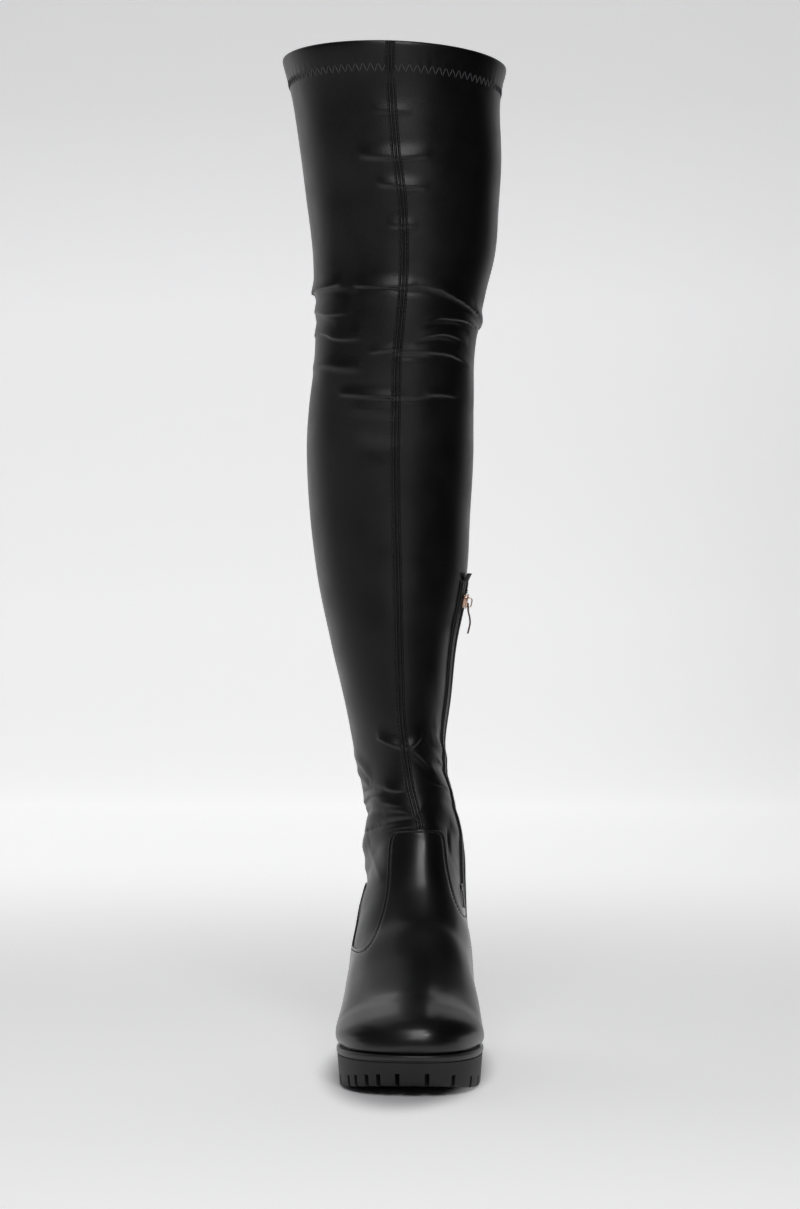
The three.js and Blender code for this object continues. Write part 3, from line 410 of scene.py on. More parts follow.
# %% Lay points on the leather, and make meshes
def lay(u, v, lift):
    """Points at rows u and shares v, lifted off the leather, and the normals there"""
    u, v, lift = np.broadcast_arrays(np.asarray(u, float), np.asarray(v, float), lift)
    closed = u >= HEEL_ROW
    v = np.where(closed, v % 1.0, np.clip(v, 0, 1))
    i = np.clip(np.interp(u, ROW_STEPS, np.arange(len(ROW_STEPS))), 0, len(ROW_STEPS) - 1.001)
    j = np.clip(v * 2 * HALF, 0, 2 * HALF - 0.001)
    i0, j0 = i.astype(int), j.astype(int)
    fi, fj = (i - i0)[..., None], (j - j0)[..., None]
    found = []
    for grid in (leather, leather_normals):
        found.append(grid[i0, j0] * (1 - fi) * (1 - fj) + grid[i0 + 1, j0] * fi * (1 - fj)
                     + grid[i0, j0 + 1] * (1 - fi) * fj + grid[i0 + 1, j0 + 1] * fi * fj)
    points, normals = found
    normals = normals / np.linalg.norm(normals, axis=-1, keepdims=True)
    return points + normals * lift[..., None], normals


def row_at(v, height):
    """The row at which the leather reaches a height, above the heel"""
    v, height = np.broadcast_arrays(np.atleast_1d(v) % 1.0, np.atleast_1d(height))
    above = ROW_STEPS >= HEEL_ROW - 2
    column = np.clip(np.rint(v * 2 * HALF).astype(int), 0, 2 * HALF)
    return np.array([np.interp(h, leather[above, c, 2], ROW_STEPS[above])
                     for c, h in zip(column, height)])


def girth_at(u):
    return np.interp(u, ROW_STEPS, way_along(leather)[:, -1])


def strip_faces(rows, columns, closed=False):
    """Quads between neighbouring rows of points"""
    i, j = np.meshgrid(np.arange(rows - 1), np.arange(columns - (0 if closed else 1)),
                       indexing="ij")
    a, b = i * columns + j, i * columns + (j + 1) % columns
    return np.stack([a, b, b + columns, a + columns], -1).reshape(-1, 4)


def mesh_of(name, points, faces):
    mesh = bpy.data.meshes.new(name)
    mesh.from_pydata([tuple(p) for p in np.asarray(points).reshape(-1, 3)], [],
                     [tuple(int(k) for k in f) for f in faces])
    return mesh


def put(name, data):
    """A new object in the scene, for a mesh, a light or a camera"""
    obj = bpy.data.objects.new(name, data)
    bpy.context.scene.collection.objects.link(obj)
    return obj


def clean(mesh, merge=0.0, shortest=0.0, outward=False):
    """Joins near points, drops short edges, turns faces outwards, and counts the open edges"""
    work = bmesh.new()
    work.from_mesh(mesh)
    if merge:
        bmesh.ops.remove_doubles(work, verts=work.verts, dist=merge)
    if shortest:
        bmesh.ops.dissolve_degenerate(work, edges=work.edges, dist=shortest)
    if outward:
        bmesh.ops.recalc_face_normals(work, faces=work.faces)
    loose = sum(1 for edge in work.edges if not edge.is_manifold)
    work.to_mesh(mesh)
    work.free()
    return loose


def piece(name, points, faces, slot, body="boot", merge=True):
    """A mesh from points and faces, that moves with a body; its slot is not used"""
    mesh = mesh_of(name, points, faces)
    if merge:
        clean(mesh, merge=2e-6, shortest=1e-7)
    mesh.shade_smooth()
    obj = put(name, mesh)
    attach(obj, body)
    return obj


print("girth at the collar", round(float(girth_at(LAST_ROW)) / MM), "mm")

# %% [markdown]
# ## Shaft and lining
# The shaft is stretch leather: polyurethane on a knitted cloth that gives with the leg. Its
# outside is the grid of the folds itself. The lining is the same grid, 1.8 mm further in, and
# needs half the faces because only its top shows.

# %% Outer leather and lining
COUNT_U, COUNT_V = leather.shape[:2]
shaft = piece("shaft", leather, strip_faces(COUNT_U, COUNT_V), "stretch_leather")
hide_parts("upper")

inner = (leather - leather_normals * WALL)[::2, ::2]
lining = piece("lining", inner, strip_faces(*inner.shape[:2])[:, ::-1], "lining")
print("shaft", len(shaft.data.polygons), "faces, lining", len(lining.data.polygons))

# %% [markdown]
# ## Vamp and heel counter
# The foot of the boot is cut from smooth polished leather in two overlays, the vamp over toe and
# instep and the counter round the heel, each sewn down near its edge. A shrinkwrapped plate would
# have a ragged edge where its outline crosses the faces. Here the grid's faces are cut exactly
# along the outline, and along a few lines inside it, where the leather's edge rounds over and
# where the stitches pull it down.

# %% Outlines of the overlays and how far a point lies inside them
# Seen from the front: x in shares of the ball's width, z in shares of the instep's height.
VAMP_OUTLINE = [
    (-0.9, -0.1), (-0.9, 0.5), (-0.4, 0.5), (-0.3, 0.51), (-0.24, 0.55), (-0.19, 0.62),
    (-0.155, 0.7), (-0.138, 0.78), (-0.137, 0.92), (-0.12, 0.975), (-0.07, 1),
    (0.235, 1), (0.268, 0.965), (0.285, 0.87), (0.315, 0.78), (0.365, 0.69),
    (0.43, 0.625), (0.5, 0.56), (0.9, 0.54), (0.9, -0.1),
]
# Seen from the side: y in shares of the foot's length.
COUNTER_OUTLINE = [
    (-0.3, -0.1), (-0.29, 0.18), (-0.262, 0.33), (-0.225, 0.45), (-0.18, 0.515),
    (-0.138, 0.565), (-0.1, 0.66), (-0.082, 0.74), (-0.05, 0.75), (0.1, 0.73), (0.3, 0.73),
    (0.3, -0.1),
]
ZIP_Y, ZIP_FOOT, ZIP_TOP = 5 * MM, 84 * MM, 349 * MM
TAPE_WIDTH = 16 * MM
OVERLAY = 1.2 * MM  # thickness of vamp and counter


def inside_outline(a, b, outline):
    """Signed distance of points to an outline, positive inside"""
    ends = np.roll(outline, -1, axis=0)
    best = np.full(a.shape, 1e9)
    inside = np.zeros(a.shape, bool)
    for (ax, az), (bx, bz) in zip(outline, ends):
        edge = np.array([bx - ax, bz - az])
        t = np.clip(((a - ax) * edge[0] + (b - az) * edge[1]) / (edge @ edge), 0, 1)
        best = np.minimum(best, np.hypot(a - ax - t * edge[0], b - az - t * edge[1]))
        crosses = (az > b) != (bz > b)
        slope = np.where(crosses, (bx - ax) * (b - az) / ((bz - az) or 1) + ax, 0)
        inside ^= crosses & (a < slope)
    return np.where(inside, best, -best)


def soft_outline(table, width, height):
    """An outline with its corners eased, in metres"""
    p = np.array(table) * (width, height)
    for _ in range(3):
        after = np.roll(p, -1, axis=0)
        p = np.stack([0.75 * p + 0.25 * after, 0.25 * p + 0.75 * after], 1).reshape(-1, 2)
    return p


counter_edge = soft_outline(COUNTER_OUTLINE, FOOT_LENGTH, INSTEP_HEIGHT)
vamp_edge = soft_outline(VAMP_OUTLINE, BALL_WIDTH, INSTEP_HEIGHT)
x, y, z = plain[..., 0], plain[..., 1], plain[..., 2]
in_counter = inside_outline(y, z, counter_edge)
in_vamp = np.minimum(inside_outline(x, z, vamp_edge), -in_counter - CLEARANCE)
in_vamp = np.minimum(in_vamp, -30 * MM - y)
slot = np.maximum(np.abs(y - ZIP_Y) - TAPE_WIDTH / 2 - CLEARANCE, ZIP_FOOT - CLEARANCE - z)
in_counter = np.where(x > 0, np.minimum(in_counter, slot), in_counter)
print("points in the vamp", int((in_vamp > 0).sum()),
      "in the counter", int((in_counter > 0).sum()))

# %% Cut an overlay out of the grid
def split_faces(corners, triangles, level):
    """Adds points where the last column of corners passes a level, and cuts the faces there"""
    above = corners[triangles][..., -1] >= level
    mixed = (above.sum(1) == 1) | (above.sum(1) == 2)
    kept, cut = triangles[~mixed], triangles[mixed]
    lone = np.where(above[mixed].sum(1)[:, None] == 1, above[mixed], ~above[mixed]).argmax(1)
    rows = np.arange(len(cut))
    a, b, c = (cut[rows, (lone + k) % 3] for k in range(3))
    pairs = np.sort(np.concatenate([np.stack([a, b], 1), np.stack([a, c], 1)]), axis=1)
    unique, where = np.unique(pairs, axis=0, return_inverse=True)
    low, high = corners[unique[:, 0]], corners[unique[:, 1]]
    t = ((level - low[:, -1]) / (high[:, -1] - low[:, -1]))[:, None]
    fresh = low + (high - low) * t
    fresh[:, -1] = level
    ab, ac = len(corners) + where.reshape(2, -1)
    pieces = [kept, np.stack([a, ab, ac], 1), np.stack([ab, b, c], 1), np.stack([ab, c, ac], 1)]
    return np.concatenate([corners, fresh]), np.concatenate(pieces)


def cut_field(corners, quads, levels):
    """Triangles of a grid, cut at levels of its last column, without what lies below zero"""
    triangles = np.concatenate([quads[:, [0, 1, 2]], quads[:, [0, 2, 3]]])
    for level in levels:
        corners, triangles = split_faces(corners, triangles, level)
    triangles = triangles[corners[triangles][..., 2].mean(1) > 0]
    used, renumbered = np.unique(triangles, return_inverse=True)
    return corners[used], renumbered.reshape(-1, 3)


def edges_of(triangles):
    return np.concatenate([triangles[:, [0, 1]], triangles[:, [1, 2]], triangles[:, [2, 0]]])


def open_edges(triangles):
    """Directed edges that only one triangle uses"""
    edges = edges_of(triangles)
    key = np.sort(edges, axis=1)
    _, where, count = np.unique(key, axis=0, return_inverse=True, return_counts=True)
    return edges[count[where.ravel()] == 1]


EDGE_ROUND = 0.6 * MM  # radius of a cut edge
STITCH_IN = 1.9 * MM  # from the edge to the row of stitches
GROOVE_DEPTH, GROOVE_WIDTH = 0.38 * MM, 0.6 * MM  # the stitches pull the leather down
EDGE_LEVELS = [0, 0.07 * MM, 0.2 * MM, 0.4 * MM, EDGE_ROUND, 1.3 * MM, STITCH_IN, 2.5 * MM,
               3.2 * MM]


def overlay_lift(inside):
    """Height of an overlay's face: rounded at its edge and drawn in along the stitches"""
    t = 1 - np.clip(inside / EDGE_ROUND, 0, 1)
    face = CLEARANCE + OVERLAY * np.sqrt(1 - t * t)
    return face - GROOVE_DEPTH * np.exp(-((inside - STITCH_IN) / GROOVE_WIDTH) ** 2)


def make_overlay(name, field, node):
    """Cuts an overlay, gives it an edge down to the leather, and returns its cut grid"""
    last = int(np.argmax(ROW_STEPS > HEEL_ROW + 2))
    uu, vv = np.meshgrid(ROW_STEPS[:last], V_STEPS, indexing="ij")
    inside = field[:last].ravel()
    quads = strip_faces(last, len(V_STEPS))
    quads = quads[inside[quads].max(1) > -2 * MM]
    corners, triangles = cut_field(np.stack([uu.ravel(), vv.ravel(), inside], 1), quads,
                                   EDGE_LEVELS)
    top = lay(corners[:, 0], corners[:, 1], overlay_lift(corners[:, 2]))[0]
    edges = open_edges(triangles)
    rim, place = np.unique(edges, return_inverse=True)
    low = lay(corners[rim, 0], corners[rim, 1], 0.05 * MM)[0]
    ring_of = place.reshape(-1, 2) + len(top)
    walls = np.stack([edges[:, 1], edges[:, 0], ring_of[:, 0], ring_of[:, 1]], 1)
    points = np.concatenate([top, low])
    points[:, 2] = np.maximum(points[:, 2], seat_height(points[:, 1]) + 0.1 * MM)
    made = piece(name, points, [*triangles, *walls], "smooth_leather")
    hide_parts(node)
    print(name, len(made.data.polygons), "faces")
    return corners, triangles


overlays = {"vamp": make_overlay("vamp_leather", in_vamp, "vamp"),
            "counter": make_overlay("counter_leather", in_counter, "heel_counter")}

# %% [markdown]
# ## Hem of the collar
# The top edge of the shaft is turned over a narrow band and sewn with a zigzag, which can stretch
# with the leather. The hem is one section, swept round the collar: out from the shaft, up, over
# the rim and down inside.

# %% The hem
# How far up the band each point of the hem's section lies, as a share, and how far it stands out
# in mm. It starts softly below the band, where the turned edge of the leather tapers off.
HEM_SECTION = [
    (-0.42, 0.01), (-0.34, 0.08), (-0.25, 0.2), (-0.15, 0.4), (-0.05, 0.68), (0.05, 0.95),
    (0.15, 1.2), (0.25, 1.38), (0.4, 1.5), (0.6, 1.55), (0.85, 1.5), (0.95, 1.35), (0.99, 1.0),
    (1.0, 0.4), (1.0, -0.6), (1.0, -1.5), (0.985, -2.1), (0.95, -2.5), (0.85, -2.7), (0.5, -2.7),
    (0.15, -2.6), (0.08, -2.3), (0.06, -1.85),
]
PUCKERS, PUCKER_HEIGHT = 72, 0.12 * MM  # small waves round the hem, along its zigzag
around = np.linspace(0, 1, 361)[:-1]
hem_rows = []
for share, stand in HEM_SECTION:
    pucker = (PUCKER_HEIGHT * np.sin(2 * np.pi * PUCKERS * around)
              * np.exp(-((share - 0.15) / 0.12) ** 2))
    hem_rows.append(lay(BAND_ROW + min(share, 1), around, stand * MM + pucker)[0])
hem = piece("collar_hem", np.array(hem_rows),
            strip_faces(len(hem_rows), len(around), closed=True), "stretch_leather")
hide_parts("collar_band")
print("hem", len(hem.data.polygons), "faces, top", round(float(np.max(hem_rows)) / MM, 1), "mm")

# %% [markdown]
# ## Seams of the shaft
# The shaft's two panels meet in a seam at the front and one at the back. The seam's allowances
# lie open to both sides under the leather and are sewn down. So the seam is a low double ridge
# with a fine join between, and on each side a row of stitches in a groove of its own, outside
# which the leather puckers between stitch and stitch. Each seam is a narrow strip with that
# section. At the front a short one runs on over the hem.

# %% Front and back seam
SEAM_STITCH, SEAM_GAP, SEAM_ROW = 1.9 * MM, 0.9 * MM, 2.4 * MM  # the rows lie on both sides
SEAM_PITCH, SEAM_PUCKER = 0.8 * MM, 0.16 * MM  # between rows of points; height of a pucker
# Millimetres across the seam, and height above the leather.
SEAM_SECTION = [(-3.5, 0.02), (-3.2, 0.32), (-2.85, 0.52), (-2.6, 0.25), (-2.4, 0.03),
                (-2.2, 0.25), (-1.9, 0.58), (-1.2, 0.78), (-0.6, 0.62), (-0.3, 0.22), (0, 0.03)]
SEAM_SECTION += [(-w, h) for w, h in reversed(SEAM_SECTION[:-1])]


def make_seam(name, v, low, high, node=None, lift=0.0):
    heights = np.arange(low, high, SEAM_PITCH)
    u = row_at(np.full(len(heights), v), heights)
    widths, stands = np.array(SEAM_SECTION).T * MM
    across = v + widths[None, :] / girth_at(u)[:, None]
    pucker = SEAM_PUCKER * np.cos(2 * np.pi * heights / (SEAM_STITCH + SEAM_GAP))[:, None]
    outside = (np.abs(widths) > SEAM_ROW + 0.1 * MM) & (stands > 0.1 * MM)  # of the stitches
    points = lay(u[:, None], across, stands[None, :] + pucker * outside + lift)[0]
    made = piece(name, points, strip_faces(*points.shape[:2]), "stretch_leather")
    if node:
        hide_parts(node)
    print(name, "from", round(low / MM), "to", round(high / MM), "mm,", len(heights), "rows")


HEM_LOW = float(lay(BAND_ROW, 0.5, 0)[0][2])
COUNTER_TOP = 0.73 * INSTEP_HEIGHT
make_seam("front_seam_leather", 0.5, INSTEP_HEIGHT + 0.6 * MM, HEM_LOW - 0.5 * MM, "front_seam")
make_seam("back_seam_leather", 0.0, COUNTER_TOP + 2 * MM, HEM_LOW - 6 * MM, "back_seam")
make_seam("hem_seam_leather", 0.5, HEM_LOW - 1.5 * MM, BOOT_HEIGHT - 1.5 * MM, lift=1.35 * MM)

# %% [markdown]
# ## Stitches
# A stitch is a short length of thread that dips into the leather at both ends. A bump map could
# paint a row of them, but real ones catch the light one by one. Here each is a small tube with
# thin ends, and all rows of one thread are one mesh: black thread, and grey for the hem's zigzag.

# %% Tubes and rows of stitches
def tubes(paths, ups, radius, taper, sides=6):
    """Points and faces of one round tube along each path"""
    count, steps = paths.shape[:2]
    along = np.gradient(paths, axis=1)
    along /= np.linalg.norm(along, axis=2, keepdims=True)
    side = np.cross(along, ups)
    side /= np.linalg.norm(side, axis=2, keepdims=True)
    up = np.cross(side, along)
    turn = np.linspace(0, 2 * np.pi, sides, endpoint=False)[None, None, :, None]
    reach = radius * np.asarray(taper)[None, :, None, None]
    points = paths[:, :, None] + reach * (np.cos(turn) * side[:, :, None]
                                          + np.sin(turn) * up[:, :, None])
    wall = strip_faces(steps, sides, closed=True)
    start = np.arange(count)[:, None, None] * steps * sides
    walls = (wall[None] + start).reshape(-1, 4)
    ends = [[k * steps * sides + j for j in range(sides)][::-1] for k in range(count)]
    ends += [[(k + 1) * steps * sides - sides + j for j in range(sides)] for k in range(count)]
    return points.reshape(-1, 3), [*walls.tolist(), *ends]


STITCH_ARC = np.array([-0.12, 0.16, 0.24, 0.16, -0.12]) * MM  # above the leather, along a stitch
STITCH_TAPER = [0.45, 0.9, 1.0, 0.9, 0.45]
THREAD = 0.3 * MM  # radius; real thread has about 0.2 mm, which the render would lose
sewn_rows = {"stitches": [], "stitches_light": []}


def sew(points, normals, length=2.3 * MM, gap=0.7 * MM):
    """Adds a row of stitches along a line of points to the black thread"""
    travelled = way_along(points)
    starts = np.arange(gap, travelled[-1] - length, length + gap)
    places = starts[:, None] + np.linspace(0, length, len(STITCH_ARC))[None]
    path, up = (at_way(line, travelled, places) for line in (points, normals))
    if len(starts):
        path = path + up * STITCH_ARC[None, :, None]
        sewn_rows["stitches"].append(tubes(path, up, THREAD, STITCH_TAPER))
    return len(starts)


def lines_at(corners, triangles, level):
    """Chains of points that lie on one inside distance of an overlay"""
    on = np.isclose(corners[:, 2], level, atol=1e-9)
    edges = edges_of(triangles)
    edges = np.unique(np.sort(edges[on[edges].all(1)], axis=1), axis=0)
    neighbours = {}
    for a, b in edges.tolist():
        neighbours.setdefault(a, []).append(b)
        neighbours.setdefault(b, []).append(a)
    chains = []
    while neighbours:
        here = next((k for k, near in neighbours.items() if len(near) == 1), next(iter(neighbours)))
        chain = [here]
        while neighbours.get(here):
            after = neighbours[here].pop()
            neighbours[after].remove(here)
            if not neighbours[here]:
                del neighbours[here]
            chain.append(after)
            here = after
        neighbours.pop(here, None)
        chains.append(chain)
    return [chain for chain in chains if len(chain) > 12]


sewn = {}
for name, (corners, triangles) in overlays.items():
    sewn[name] = 0
    for chain in lines_at(corners, triangles, STITCH_IN):
        u, v = corners[chain, 0], corners[chain, 1]
        sewn[name] += sew(*lay(u, v, overlay_lift(np.full(len(chain), STITCH_IN))))

heights = np.arange(INSTEP_HEIGHT + 3 * MM, BOOT_HEIGHT - 3 * MM, 1 * MM)
for name, v, top in (("front seam", 0.5, BOOT_HEIGHT), ("back seam", 0.0, HEM_LOW - 7 * MM)):
    z = heights[heights < top]
    u = row_at(np.full(len(z), v), z)
    lift = np.where(z > HEM_LOW, 1.45 * MM, 0.15 * MM)
    for side in (-SEAM_ROW, SEAM_ROW):
        sewn[name] = sew(*lay(u, v + side / girth_at(u), lift), SEAM_STITCH, SEAM_GAP)

# The zigzag: one straight stitch up and one down, all round the hem.
ZIGZAGS, ZIGZAG_LOW, ZIGZAG_HIGH = 184, -0.05, 0.16  # number, and shares of the band
t = np.linspace(0.06, 0.94, len(STITCH_ARC))
k = np.arange(ZIGZAGS)[:, None]
share = ZIGZAG_LOW + (ZIGZAG_HIGH - ZIGZAG_LOW) * np.where(k % 2, 1 - t, t)
path, up = lay(BAND_ROW + share, (k + t) / ZIGZAGS,
               np.interp(share, *np.array(HEM_SECTION[:8]).T) * MM)
sewn_rows["stitches_light"].append(
    tubes(path + up * STITCH_ARC[None, :, None], up, THREAD, STITCH_TAPER))
sewn["hem"] = ZIGZAGS
print("stitches", sewn)

# %% [markdown]
# ## Zip
# The zip's coil is a nylon spring, sewn along two woven tapes whose loops hook into each other.
# Both tapes lie under leather facings with a row of stitches, and a patch covers the foot of the
# zip. What lies on the leg's side is found by shooting level lines at the leather, so that tape,
# facings and coil take its shape. A flat strip would have to be bent to it by hand.

# %% Tape and facings
ZIP_PITCH = 1.5 * MM  # between the rows of points along the zip
CURL_LENGTH = 13 * MM  # the tape's free top bends outwards
shaft_tree = BVHTree.FromPolygons([Vector(p) for p in leather.reshape(-1, 3)],
                                  strip_faces(COUNT_U, COUNT_V).tolist())


def on_inner_side(y, z):
    """Where a level line from the inner side meets the leather"""
    found = shaft_tree.ray_cast(Vector((0.3, y, z)), Vector((-1, 0, 0)))[0]
    return found if found else Vector((0.03, y, z))


def side_grid(across, heights):
    """Points on the inner side beside the zip's middle line, and outward normals there"""
    before, points, after = (np.array([[on_inner_side(ZIP_Y + a + step, h) for a in across]
                                       for h in heights]) for step in (-ZIP_PITCH, 0, ZIP_PITCH))
    normals = np.cross(after - before, np.gradient(points, axis=0))
    normals /= np.linalg.norm(normals, axis=2, keepdims=True)
    return points, normals * np.sign(normals[..., :1])


def zip_strip(name, section, low, high, slot, curl=0.0):
    """A strip along the zip from a section of distances across and heights, in millimetres"""
    across, stand = np.array(section).T * MM
    heights = np.arange(low, high + 1e-6, ZIP_PITCH)
    points, normals = side_grid(across, heights)
    ends = np.clip(np.minimum(heights - low, high - heights) / ZIP_PITCH, 0, 1)[:, None]
    bent = curl * np.clip((heights - high + CURL_LENGTH) / CURL_LENGTH, 0, 1)[:, None] ** 2
    lift = stand[None, :] * (0.35 + 0.65 * ends) + bent
    points = points + normals * lift[..., None]
    return piece(name, points, strip_faces(*points.shape[:2]), slot), heights


TAPE_SECTION = [(-8, 0.1), (-8, 0.8), (-7.7, 1.05), (-5, 1.1), (-2.8, 1.1), (0, 1.1),
                (2.8, 1.1), (5, 1.1), (7.7, 1.05), (8, 0.8), (8, 0.1)]
TAPE_CURL = 3.6 * MM
tape = zip_strip("zip_tape_cloth", TAPE_SECTION, ZIP_FOOT, ZIP_TOP, "zip_cloth", TAPE_CURL)[0]
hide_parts("zip_tape")
FACING_SECTION = [(5.0, 1.12), (5.05, 1.7), (5.4, 2.1), (6.0, 2.2), (7.2, 2.05), (8.2, 1.85),
                  (8.9, 1.6), (9.6, 1.85), (10.8, 1.8), (11.8, 1.6), (12.3, 1.1), (12.4, 0.1)]
FACING_ROW, FACING_GROOVE = 8.9 * MM, 1.6 * MM  # where its stitches lie
for name, side in (("zip_facing_front", -1), ("zip_facing_back", 1)):
    section = [(side * a, h) for a, h in FACING_SECTION][::side]
    heights = zip_strip(name, section, ZIP_FOOT - 2 * MM, ZIP_TOP - 6 * MM, "stretch_leather")[1]
    points, normals = side_grid(side * np.array([FACING_ROW, FACING_ROW + 0.1 * MM]),
                                heights[2:-2])
    sewn[name] = sew(points[:, 0] + normals[:, 0] * FACING_GROOVE, normals[:, 0])
PATCH_SECTION = [(-12.6, 0.1), (-12.4, 1.9), (-11.6, 2.5), (-6, 2.75), (0, 2.8),
                 (6, 2.75), (11.6, 2.5), (12.4, 1.9), (12.6, 0.1)]
zip_strip("zip_foot_patch", PATCH_SECTION, ZIP_FOOT - 7 * MM, ZIP_FOOT + 5 * MM, "smooth_leather")
print("zip from", ZIP_FOOT / MM, "to", ZIP_TOP / MM, "mm, stitches", sewn["zip_facing_front"])

# %% Coil
# A number 5 coil has a loop about every 1.4 mm on each side, and the two sides interlock.
LOOP_PITCH, LOOP_RADIUS = 1.4 * MM, 0.46 * MM
# Millimetres across, from the tape over the middle line, and height above the leather.
LOOP = [(2.75, 1.25), (3.05, 1.7), (2.75, 2.3), (1.6, 2.75), (0.3, 2.85), (-0.6, 2.6),
        (-0.75, 2.1)]
LOOP_TAPER = [0.8, 1, 1, 1, 1, 1, 0.7]
SLIDER_Z, SLIDER_HALF = 328 * MM, 5.5 * MM


def coil_side(side, low, high, apart=0.0):
    """Loops of one side of the coil. Above the slider the sides stand apart."""
    heights = np.arange(low, high, LOOP_PITCH) + (LOOP_PITCH / 2 if side > 0 else 0)
    across, stand = np.array(LOOP).T * MM
    points, normals = side_grid(side * (across + apart), heights)
    ups = np.zeros_like(points)
    ups[..., 2] = 1
    return tubes(points + normals * stand[None, :, None], ups, LOOP_RADIUS, LOOP_TAPER)


def joined(parts):
    """Points and faces of several meshes as one"""
    points, faces, count = [], [], 0
    for p, f in parts:
        points.append(p)
        faces += [[k + count for k in face] for face in f]
        count += len(p)
    return np.concatenate(points), faces


coil_parts = [coil_side(side, ZIP_FOOT + 3 * MM, SLIDER_Z - SLIDER_HALF) for side in (-1, 1)]
coil_parts += [coil_side(side, SLIDER_Z + SLIDER_HALF, ZIP_TOP - CURL_LENGTH, 1.3 * MM)
               for side in (-1, 1)]
coil = piece("zip_coil_loops", *joined(coil_parts), "zip_plastic")
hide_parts("zip_coil")
print("coil faces", len(coil.data.polygons))

# %% [markdown]
# ## Slider and pull
# Both are die-cast zinc, plated: the slider a pale rose gold, the pull a dark bronze. Castings
# have soft edges, and bevelled boxes would look too sharp, so each plate is cut from a fine grid
# and its thickness falls away in a round edge.

# %% Plates with round edges
def plate(outline, holes, half_thickness, edge, pitch=0.4 * MM):
    """Both faces of a flat casting: points as across, along and height, and triangles"""
    low, high = outline.min(0) - pitch, outline.max(0) + pitch
    a, b = (np.arange(low[axis], high[axis] + pitch, pitch) for axis in (0, 1))
    aa, bb = np.meshgrid(a, b, indexing="ij")
    field = inside_outline(aa, bb, outline)
    for hole in holes:
        field = np.minimum(field, -inside_outline(aa, bb, hole))
    levels = [share * edge for share in (0, 0.05, 0.2, 0.45, 0.75, 1)]
    corners, triangles = cut_field(np.stack([aa.ravel(), bb.ravel(), field.ravel()], 1),
                                   strip_faces(len(a), len(b)), levels)
    t = 1 - np.clip(corners[:, 2] / edge, 0, 1)
    top = corners.copy()
    top[:, 2] = half_thickness * np.sqrt(np.maximum(1 - t * t, 0))
    return (np.concatenate([top, top * (1, 1, -1)]),
            np.concatenate([triangles, triangles[:, ::-1] + len(top)]))

# %% Slider
SLOPE_SPAN = 11 * MM  # the leather's slope is taken from this far below to this far above
SLIDER_STAND = 1.7 * MM  # from the leather to the slider's middle
low, high = (on_inner_side(ZIP_Y, SLIDER_Z + way) for way in (-SLOPE_SPAN, SLOPE_SPAN))
tilt = math.atan2(high.x - low.x, high.z - low.z)
slider_out = Vector((math.cos(tilt), 0, -math.sin(tilt)))
slider_along = Vector((math.sin(tilt), 0, math.cos(tilt)))
slider_base = on_inner_side(ZIP_Y, SLIDER_Z) + slider_out * SLIDER_STAND


def on_slider(out, across, along):
    """Points of the slider's own frame in the boot's"""
    frame_axes = np.array([slider_out, Vector((0, 1, 0)), slider_along])
    return np.array(slider_base) + np.stack([out, across, along], -1) @ frame_axes


SLIDER_OUTLINE = [(-3.3, -5.5), (3.3, -5.5), (3.6, -3.5), (4.5, -0.5), (4.8, 2.2), (4.6, 4.6),
                  (3.4, 5.5), (1.2, 5.2), (0, 4.2), (-1.2, 5.2), (-3.4, 5.5), (-4.6, 4.6),
                  (-4.8, 2.2), (-4.5, -0.5), (-3.6, -3.5)]
# Top plate, the neck between and the plate under the coil: scale, height and half thickness.
SLIDER_PLATES = [(1.0, 2.3, 0.6), (0.74, 1.4, 1.3), (1.0, 0.1, 0.55)]
slider_parts = []
for scale, middle, half in SLIDER_PLATES:
    outline = soft_outline(SLIDER_OUTLINE, scale * MM, scale * MM)
    points, faces = plate(outline, [], half * MM, 0.45 * MM)
    points = on_slider(points[:, 2] + middle * MM, points[:, 0], points[:, 1])
    slider_parts.append((points, faces.tolist()))
# The bridge that carries the pull: out from the slider and along it, in mm.
BRIDGE = [(2.7, -3.7), (4.4, -3.7), (5.5, -3.2), (5.85, -2.2), (5.85, 1.2), (5.5, 2.2),
          (4.4, 2.7), (2.7, 3.0)]
BAR_STEPS, BAR_SIDES, BAR_WIDE, BAR_THICK, BAR_SQUARE = 40, 16, 1.2 * MM, 0.45 * MM, 0.45
bridge_path = smooth_path(BRIDGE, BAR_STEPS) * MM
bridge_line = on_slider(bridge_path[:, 0], np.zeros(BAR_STEPS), bridge_path[:, 1])
ahead = np.gradient(bridge_line, axis=0)
ahead /= np.linalg.norm(ahead, axis=1, keepdims=True)
across = np.array([0.0, 1.0, 0.0])
corner = np.linspace(0, 2 * np.pi, BAR_SIDES, endpoint=False)
bar_wide, bar_thick = (np.sign(wave) * np.abs(wave) ** BAR_SQUARE * half for wave, half in
                       ((np.cos(corner), BAR_WIDE), (np.sin(corner), BAR_THICK)))
bar = (bridge_line[:, None] + bar_wide[None, :, None] * across
       + bar_thick[None, :, None] * np.cross(ahead, across)[:, None])
slider_parts.append((bar.reshape(-1, 3), strip_faces(BAR_STEPS, BAR_SIDES, closed=True).tolist()))
slider = piece("zip_slider_casting", *joined(slider_parts), "rose_gold", merge=False)
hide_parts("zip_slider")
print("slider tilt", round(math.degrees(tilt), 1), "degrees, faces", len(slider.data.polygons))

